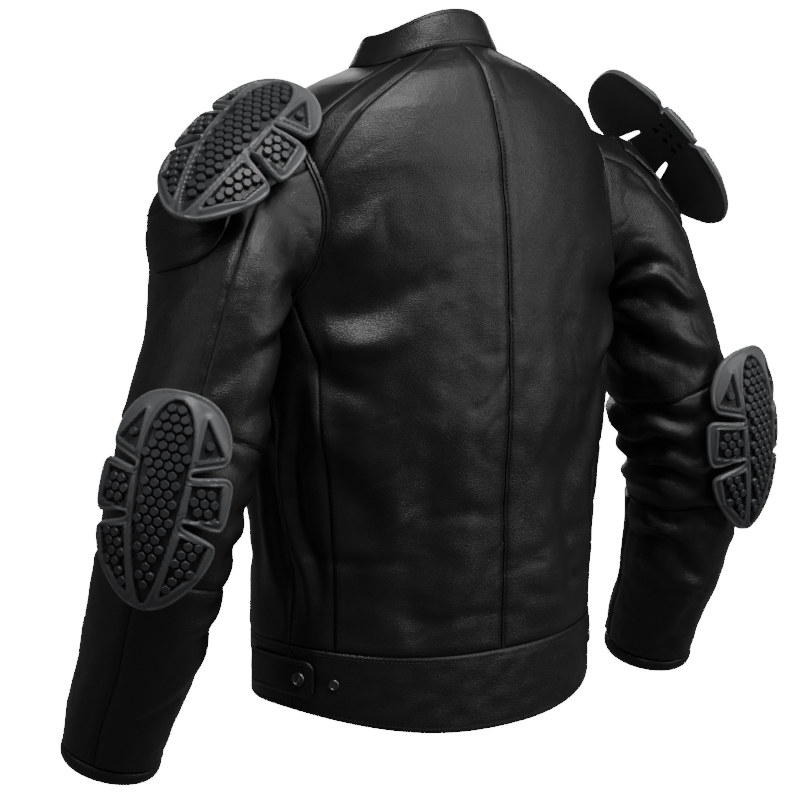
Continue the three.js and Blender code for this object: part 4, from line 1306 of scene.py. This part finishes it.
def tab(name, surface, start, end, low, high, round_end, node_name, body, mirrored=False):
    length = float(path_lengths(surface(np.linspace(start, end, 30), np.full(30, (low + high) / 2)), 0))
    foot, head = surface(np.array([start, start]), np.array([low, high]))
    tall = abs(float(head[2] - foot[2]))

    def place(u, v):
        out = np.zeros(u.shape)
        for is_start, rounded in zip((True, False), round_end):
            if rounded:
                past = np.clip(1 - (u if is_start else 1 - u) * length / 9, 0, 1)
                out = np.maximum(out, past)
        squeeze = 1 - (1 - np.sqrt(np.clip(1 - out ** 2, 0, 1))) * 18 / tall
        return surface(start + (end - start) * u, (low + high) / 2 + (high - low) * (v - 0.5) * squeeze)

    u, v, edge = lay_out(place, 2.0)
    points = place(u, v)
    height = TAB_THICKNESS + 0.5 + 0.7 * (1 - np.exp(-edge / 5)) - 1.2 * np.exp(-(edge / 1.2) ** 2)
    height -= 0.45 * np.exp(-((edge - 3.8) / 0.8) ** 2)
    obj = grid_mesh(name, points + normals(points) * height[..., None], mirrored=mirrored)
    thicken(obj, TAB_THICKNESS)
    settle(obj, LEATHER_FINISH, body, [node_name])
    inset_u, inset_v = TAB_STITCH_INSET / length, TAB_STITCH_INSET / tall
    corners = np.array([(inset_u, inset_v), (1 - inset_u, inset_v),
                        (1 - inset_u, 1 - inset_v), (inset_u, 1 - inset_v)])
    runs = []
    for here, there in zip(corners, np.roll(corners, -1, 0)):
        line = here + (there - here) * np.linspace(0, 1, 60)[:, None]
        path = place(line[:, 0], line[:, 1])
        out = unit(path * (1, 1, 0))
        runs.append(stitches("row", path + out * (TAB_THICKNESS + 0.8), out, mirrored, 3.6))
    settle(joined(name + "_stitching", runs), THREAD_FINISH, body)


tab_low = 1 - (TAB_DROP + TAB_HEIGHT) / BAND_FRONT
tab_high = 1 - TAB_DROP / BAND_FRONT
for side in ("left", "right"):
    tab(f"waist_tab_{side}_strap", band_point, -12.0, 23.0, tab_low, tab_high, (False, True),
        f"waist_tab_{side}", f"waist_tab_{side}", side == "right")
tab("collar_tab_strap", collar_point, -109.0, -71.0, 0.2, 0.85, (True, False), "collar_tab", "collar_tab")

# ---- Snaps ----
# Blackened brass. A cap has a turned rim and a low dome; the spare stud is an open ring with a bent
# wire spring across it.


def metal_shade(tree, shader, place):
    cloud = node(tree, "TexNoise", 0, Vector=place, Scale=260.0, Detail=4.0)
    plug(tree, shader.inputs["Roughness"], 0.22 + cloud * 0.25)
    plug(tree, shader.inputs["Normal"], bump(tree, cloud, 0.00005, 0.3))


METAL_FINISH = finish_of("black_nickel", metal_shade, Base_Color=grey(0.16, 0.02), Metallic=1.0)


def turned(name, profile, around=48):
    """A turned piece: (radius, height) pairs in millimetres, spun about Z."""
    angle = np.linspace(0, -2 * math.pi, around + 1)
    profile = np.array(profile, float)
    profile[profile[:, 0] == 0, 0] = 0.02
    points = np.stack([profile[:, 0:1] * np.cos(angle), profile[:, 0:1] * np.sin(angle),
                       profile[:, 1:2] + 0 * angle], -1)
    return grid_mesh(name, points, closed=True, capped=True)


def seat_of(node_name, outward, upward, from_top=False):
    """The seat of a CAD piece, at the middle or the top of its inner face, and its size."""
    _, (x, y, z), inner, outer = node_axes(node_name, outward, upward)
    along = outer[1] if from_top else (inner[1] + outer[1]) / 2
    origin = x * (inner[0] + outer[0]) / 2 + y * along + z * inner[2]
    return matrix_of(x, y, z, origin), (outer - inner) / MM


def outward_of(node_name, centre=Vector((0, 0, 0))):
    low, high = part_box(node_name)
    away = (low + high) / 2 - centre
    return (away.x, away.y, 0)


CAP = [(0, 0), (6.2, 0), (6.5, 0.5), (6.4, 1.6), (5.9, 2.5), (5.3, 2.75), (4.8, 2.4), (4.5, 1.95), (3.6, 1.9),
       (3.2, 2.15), (2.8, 2.5), (1.6, 2.85), (0, 3.0)]
SOCKET = [(0, 0), (4.8, 0), (5.0, 0.4), (4.9, 1.3), (4.5, 1.8), (3.9, 1.9), (3.4, 1.5), (3.1, 0.7), (0, 0.6)]
for name, profile, body in (
    ("waist_snap_left", CAP, "waist_tab_left"), ("waist_snap_right", CAP, "waist_tab_right"),
    ("collar_snap", CAP, "collar_tab"), ("spare_snap_left", SOCKET, ROOT), ("spare_snap_right", SOCKET, ROOT),
):
    seat, _ = seat_of(name, outward_of(name), (0, 0, 1))
    snap = turned(name + "_metal", profile)
    if profile is SOCKET:
        share = np.linspace(-1, 1, 25)
        wire = np.stack([2.6 * share, 1.3 * np.sin(share * math.pi), 1.2 + 0 * share], 1)
        spring = tube("spring", wire, np.array([0, 0, 1.0]) + 0 * wire, 0.35, 6)
        snap = joined(name + "_metal", [snap, spring])
    snap.data.transform(seat)
    settle(snap, METAL_FINISH, body, [name], angle=30)

# ---- Zips ----
# Black woven tapes with metal teeth, a slider with a bridge, and a flat pull with an eye. The front
# zip is closed; pocket and cuff zips lie on short tapes.


def tape_shade(tree, shader, place):
    weave = node(tree, "TexWave", 0, Vector=place, Scale=620.0, Distortion=0.3)
    cross = node(tree, "TexWave", 0, {"bands_direction": "Z"}, Vector=place, Scale=620.0)
    plug(tree, shader.inputs["Normal"], bump(tree, weave + cross, 0.00015, 0.5))


TAPE_FINISH = finish_of("zip_cloth", tape_shade, Base_Color=grey(0.012), Roughness=0.8)
TEETH_FINISH = finish_of("zip_teeth", metal_shade, Base_Color=grey(0.10), Metallic=1.0)


def tooth_base(length, width, tall):
    bpy.ops.mesh.primitive_cube_add(size=1)
    base = bpy.context.object
    for vertex in base.data.vertices:
        taper = 0.75 if vertex.co.z > 0 else 1.0
        vertex.co = (vertex.co.x * length * taper, vertex.co.y * width * taper, vertex.co.z * tall)
    return base


def zip_tape(name, node_name, points, out, middle, body, mirrored, teeth_out, reach):
    """A tape through a grid of points, with teeth along the line middle."""
    cloth = grid_mesh(name, points, mirrored=mirrored)
    thicken(cloth, 1.4)
    places = even(middle, 2.6)
    nearest = np.argmin(((places[:, None] - middle[None]) ** 2).sum(-1), 1)
    along = path_frames(places)
    lift = out[nearest]
    across = np.cross(along, lift)
    across = unit(across)
    teeth = repeated("teeth", tooth_base(reach, 1.4, 1.5), places + lift * teeth_out, across, along,
                     np.cross(across, along), mirrored)
    settle(teeth, TEETH_FINISH, body)
    teeth.name = teeth.data.name = name + "_teeth"
    settle(cloth, TAPE_FINISH, body, [node_name])


HEM_SHARE, COLLAR_SHARE = 0.1, 0.94


def front_line(share):
    """The line down the middle of the front, from the hem to the collar's top."""
    turn = np.full(share.shape, -90.0)
    band = band_point(turn, np.clip(share / HEM_SHARE, 0, 1))
    body = body_point(turn, np.clip((share - HEM_SHARE) / (COLLAR_SHARE - HEM_SHARE), 0, 1))
    collar = collar_point(turn, np.clip((share - COLLAR_SHARE) / (1 - COLLAR_SHARE), 0, 1) * 0.9)
    below_collar = np.where((share > COLLAR_SHARE)[:, None], collar, body)
    return np.where((share < HEM_SHARE)[:, None], band, below_collar)


share = 0.004 + 0.99 * np.linspace(0, 1, 180)
line = front_line(share)
front_out = np.cross(np.array([1.0, 0, 0]) + 0 * line, path_frames(line))
front_out = unit(front_out)
for side in ("left", "right"):
    reach_x = np.array([0.3, 1.5, 4, 7, 9.5, front_gap - 0.3])
    grid = line[:, None] + reach_x[None, :, None] * np.array([1.0, 0, 0]) - front_out[:, None] * 1.5
    middle = line + np.array([1.35, 0, 0])
    zip_tape(f"front_zip_tape_{side}_cloth", f"front_zip_tape_{side}", grid, front_out, middle, ROOT,
             side == "right", -1.0, 2.2)


POCKET_TURN, CUFF_TURN = -50.0, 268.0


def pocket_surface(offset, share):
    level = 0.08 + 0.22 * share
    return body_point(POCKET_TURN + degrees_for(POCKET_TURN + 0 * level, level, offset), level)


CUFF_LOW, CUFF_HIGH = CUFF_TOP + 0.012, CUFF_TOP + RING_SPAN * 1.9


def cuff_surface(offset, share):
    turn = CUFF_TURN + np.degrees(offset / (CUFF + 4))
    return sleeve_point(turn, CUFF_LOW + (CUFF_HIGH - CUFF_LOW) * share)


for name, surface, width in (("pocket", pocket_surface, 14.0), ("cuff", cuff_surface, 12.0)):
    for side in ("left", "right"):
        flip = side == "right"
        body = ROOT if name == "pocket" else f"forearm_{side}"
        u, v = np.meshgrid(np.linspace(-width / 2, width / 2, 9), np.linspace(0, 1, 70))
        grid = surface(u, v)
        out = normals(grid)
        seen = on_side(grid, flip)
        if name == "pocket":
            lift = body_relief(seen, turn_of(seen)) * 0.5
        else:
            lift = sleeve_relief(grid, CUFF_TURN + 0 * v, CUFF_LOW + (CUFF_HIGH - CUFF_LOW) * v, flip) * 0.5
        lift = np.clip(lift, -1.0, 1.0)
        points = grid + out * (2.4 + lift)[..., None]
        zip_tape(f"{name}_zip_tape_{side}_cloth", f"{name}_zip_tape_{side}", points, out[:, 4], points[:, 4],
                 body, flip, 0.5, 3.6)


def zip_slider(name, length, width, tall):
    bpy.ops.mesh.primitive_cube_add(size=1)
    plate_piece = bpy.context.object
    for vertex in plate_piece.data.vertices:
        narrow = 0.72 if vertex.co.y > 0 else 1.0
        vertex.co = (vertex.co.x * width * narrow, vertex.co.y * length, (vertex.co.z + 0.5) * tall * 0.5)
    bpy.ops.mesh.primitive_torus_add(major_radius=length * 0.26, minor_radius=0.75,
                                     major_segments=20, minor_segments=8)
    bridge = bpy.context.object
    for vertex in bridge.data.vertices:
        x, y, z = vertex.co
        vertex.co = (z, y, max(0.4, x * 0.8 + tall * 0.42))
    bevel = plate_piece.modifiers.new("soft", "BEVEL")
    bevel.width, bevel.segments = 0.5, 2
    apply_all(plate_piece)
    return joined(name, [plate_piece, bridge])


def zip_puller(name, length, width, tall):
    """A flat pull, hanging down from its own origin, narrow at the top with an eye at the foot."""
    share = np.linspace(0, 1, 30)
    breadth = width / 2 * (0.55 + 0.45 * np.clip((share - 0.15) / 0.25, 0, 1))
    breadth *= np.sqrt(np.clip(1 - np.clip((share - 0.88) / 0.12, 0, 1) ** 2, 0.04, 1))
    across = np.linspace(-1, 1, 9)
    points = np.stack([across[None] * breadth[:, None], -length * share[:, None] + 0 * across[None],
                       tall + 0 * share[:, None] * across[None]], -1)
    obj = grid_mesh(name, points[::-1])
    depth = obj.modifiers.new("thickness", "SOLIDIFY")
    depth.thickness, depth.offset = tall, -1
    bpy.ops.mesh.primitive_cylinder_add(vertices=24, radius=width * 0.27, depth=tall * 6, location=(0, 0, 0))
    hole = bpy.context.object
    for vertex in hole.data.vertices:
        vertex.co.y = vertex.co.y * 1.8 - length * 0.76
    obj.data.transform(Matrix.Scale(1 / MM, 4))
    eye = obj.modifiers.new("eye", "BOOLEAN")
    eye.operation, eye.object, eye.solver = "DIFFERENCE", hole, "EXACT"
    bevel = obj.modifiers.new("soft", "BEVEL")
    bevel.width, bevel.segments, bevel.limit_method = 0.3, 2, "ANGLE"
    apply_all(obj)
    bpy.data.objects.remove(hole)
    return obj


def place_zip(name, outward):
    run = np.array(joints[f"{name}_run"]["axis"])
    pivot = np.array(joints[f"{name}_pull"]["pos_m"])
    corners = np.array([v.co for v in bpy.data.objects[f"{name}_puller"].data.vertices], float)
    parts = [
        ("slider", zip_slider, -run, False),
        ("puller", zip_puller, pivot - corners.mean(0), True),
    ]
    for part, make, upward, from_top in parts:
        node_name = f"{name}_{part}"
        seat, size = seat_of(node_name, outward, upward, from_top)
        piece = make(node_name + "_metal", size[1], size[0], size[2])
        piece.data.transform(seat @ Matrix.Scale(MM, 4))
        settle(piece, METAL_FINISH, node_name, [node_name], angle=35)


place_zip("front_zip", (0, -1, 0.3))
for side in ("left", "right"):
    place_zip(f"pocket_zip_{side}", outward_of(f"pocket_zip_{side}_slider"))
    cuff_low, cuff_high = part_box(f"cuff_binding_{side}")
    behind_cuff = (cuff_low + cuff_high) / 2 + Vector((0, 0.02, 0))
    place_zip(f"cuff_zip_{side}", outward_of(f"cuff_zip_{side}_slider", behind_cuff))

# ---- Floor, light and camera ----
# A pale floor under a white studio, one broad soft light high behind each shoulder, and a weak one
# from the front, with white seen behind everything by the camera alone.


STUDIO_WHITE = 18.0


def plain(name, colour, strength):
    material = bpy.data.materials.new(name)
    material.use_nodes = True
    tree = material.node_tree
    shader = tree.nodes["Principled BSDF"]
    shader.inputs["Base Color"].default_value = colour
    shader.inputs["Roughness"].default_value = 0.9
    shader.inputs["Emission Color"].default_value = (1, 1, 1, 1)
    shader.inputs["Emission Strength"].default_value = strength
    return material


low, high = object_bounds()
bpy.ops.mesh.primitive_plane_add(size=40, location=(0, 0, low.z - 0.25))
floor = bpy.context.object
floor.name = "floor"
floor.data.materials.append(plain("floor_white", (0.9, 0.9, 0.9, 1), STUDIO_WHITE))
floor.visible_diffuse = floor.visible_glossy = False

world = bpy.data.worlds.new("studio")
world.use_nodes = True
bpy.context.scene.world = world
tree = world.node_tree
sky = tree.nodes["Background"]
seen = node(tree, "LightPath", 0)
white = tree.nodes.new("ShaderNodeBackground")
white.inputs["Strength"].default_value = STUDIO_WHITE
white.inputs["Color"].default_value = (1, 1, 1, 1)
sky.inputs["Color"].default_value = (1, 1, 1, 1)
sky.inputs["Strength"].default_value = 0.12
blend = tree.nodes.new("ShaderNodeMixShader")
tree.links.new(seen.socket, blend.inputs[0])
tree.links.new(sky.outputs[0], blend.inputs[1])
tree.links.new(white.outputs[0], blend.inputs[2])
tree.links.new(blend.outputs[0], tree.nodes["World Output"].inputs["Surface"])

target = Vector((0.0163, -0.0132, -0.338))
azimuth, elevation = math.radians(141), math.radians(8.0)
CAMERA_DISTANCE, LENS_LENGTH = 2.5, 117.2
level_back = Vector((math.sin(azimuth), -math.cos(azimuth), 0))
back = level_back * math.cos(elevation) + Vector((0, 0, math.sin(elevation)))
right = Vector((math.cos(azimuth), math.sin(azimuth), 0))
above = back.cross(right)


def soft_light(name, sideways, upwards, towards, size, energy):
    bpy.ops.object.light_add(type="AREA")
    light = bpy.context.object
    light.name = name
    light.data.shape = "RECTANGLE"
    light.data.size, light.data.size_y = size
    light.data.energy = energy
    light.location = target + right * sideways + above * upwards + back * towards
    light.rotation_mode = "QUATERNION"
    light.rotation_quaternion = (light.location - target).to_track_quat("Z", "Y")
    return light


soft_light("light_above", 0.6, 1.95, 1.25, (1.5, 0.8), 54)
soft_light("light_left", -1.7, 0.7, 1.4, (0.8, 1.6), 5)
soft_light("light_right", 1.9, 0.6, 0.6, (0.7, 1.6), 14)
soft_light("light_front", 0.0, 1.0, -2.2, (1.8, 1.2), 26)

bpy.ops.object.camera_add()
camera = bpy.context.object
camera.data.sensor_width = 36
camera.data.lens = LENS_LENGTH
camera.location = target + back * CAMERA_DISTANCE
camera.rotation_mode = "QUATERNION"
camera.rotation_quaternion = back.to_track_quat("Z", "Y")
camera.data.clip_end = 100
bpy.context.scene.camera = camera
bpy.context.view_layer.update()
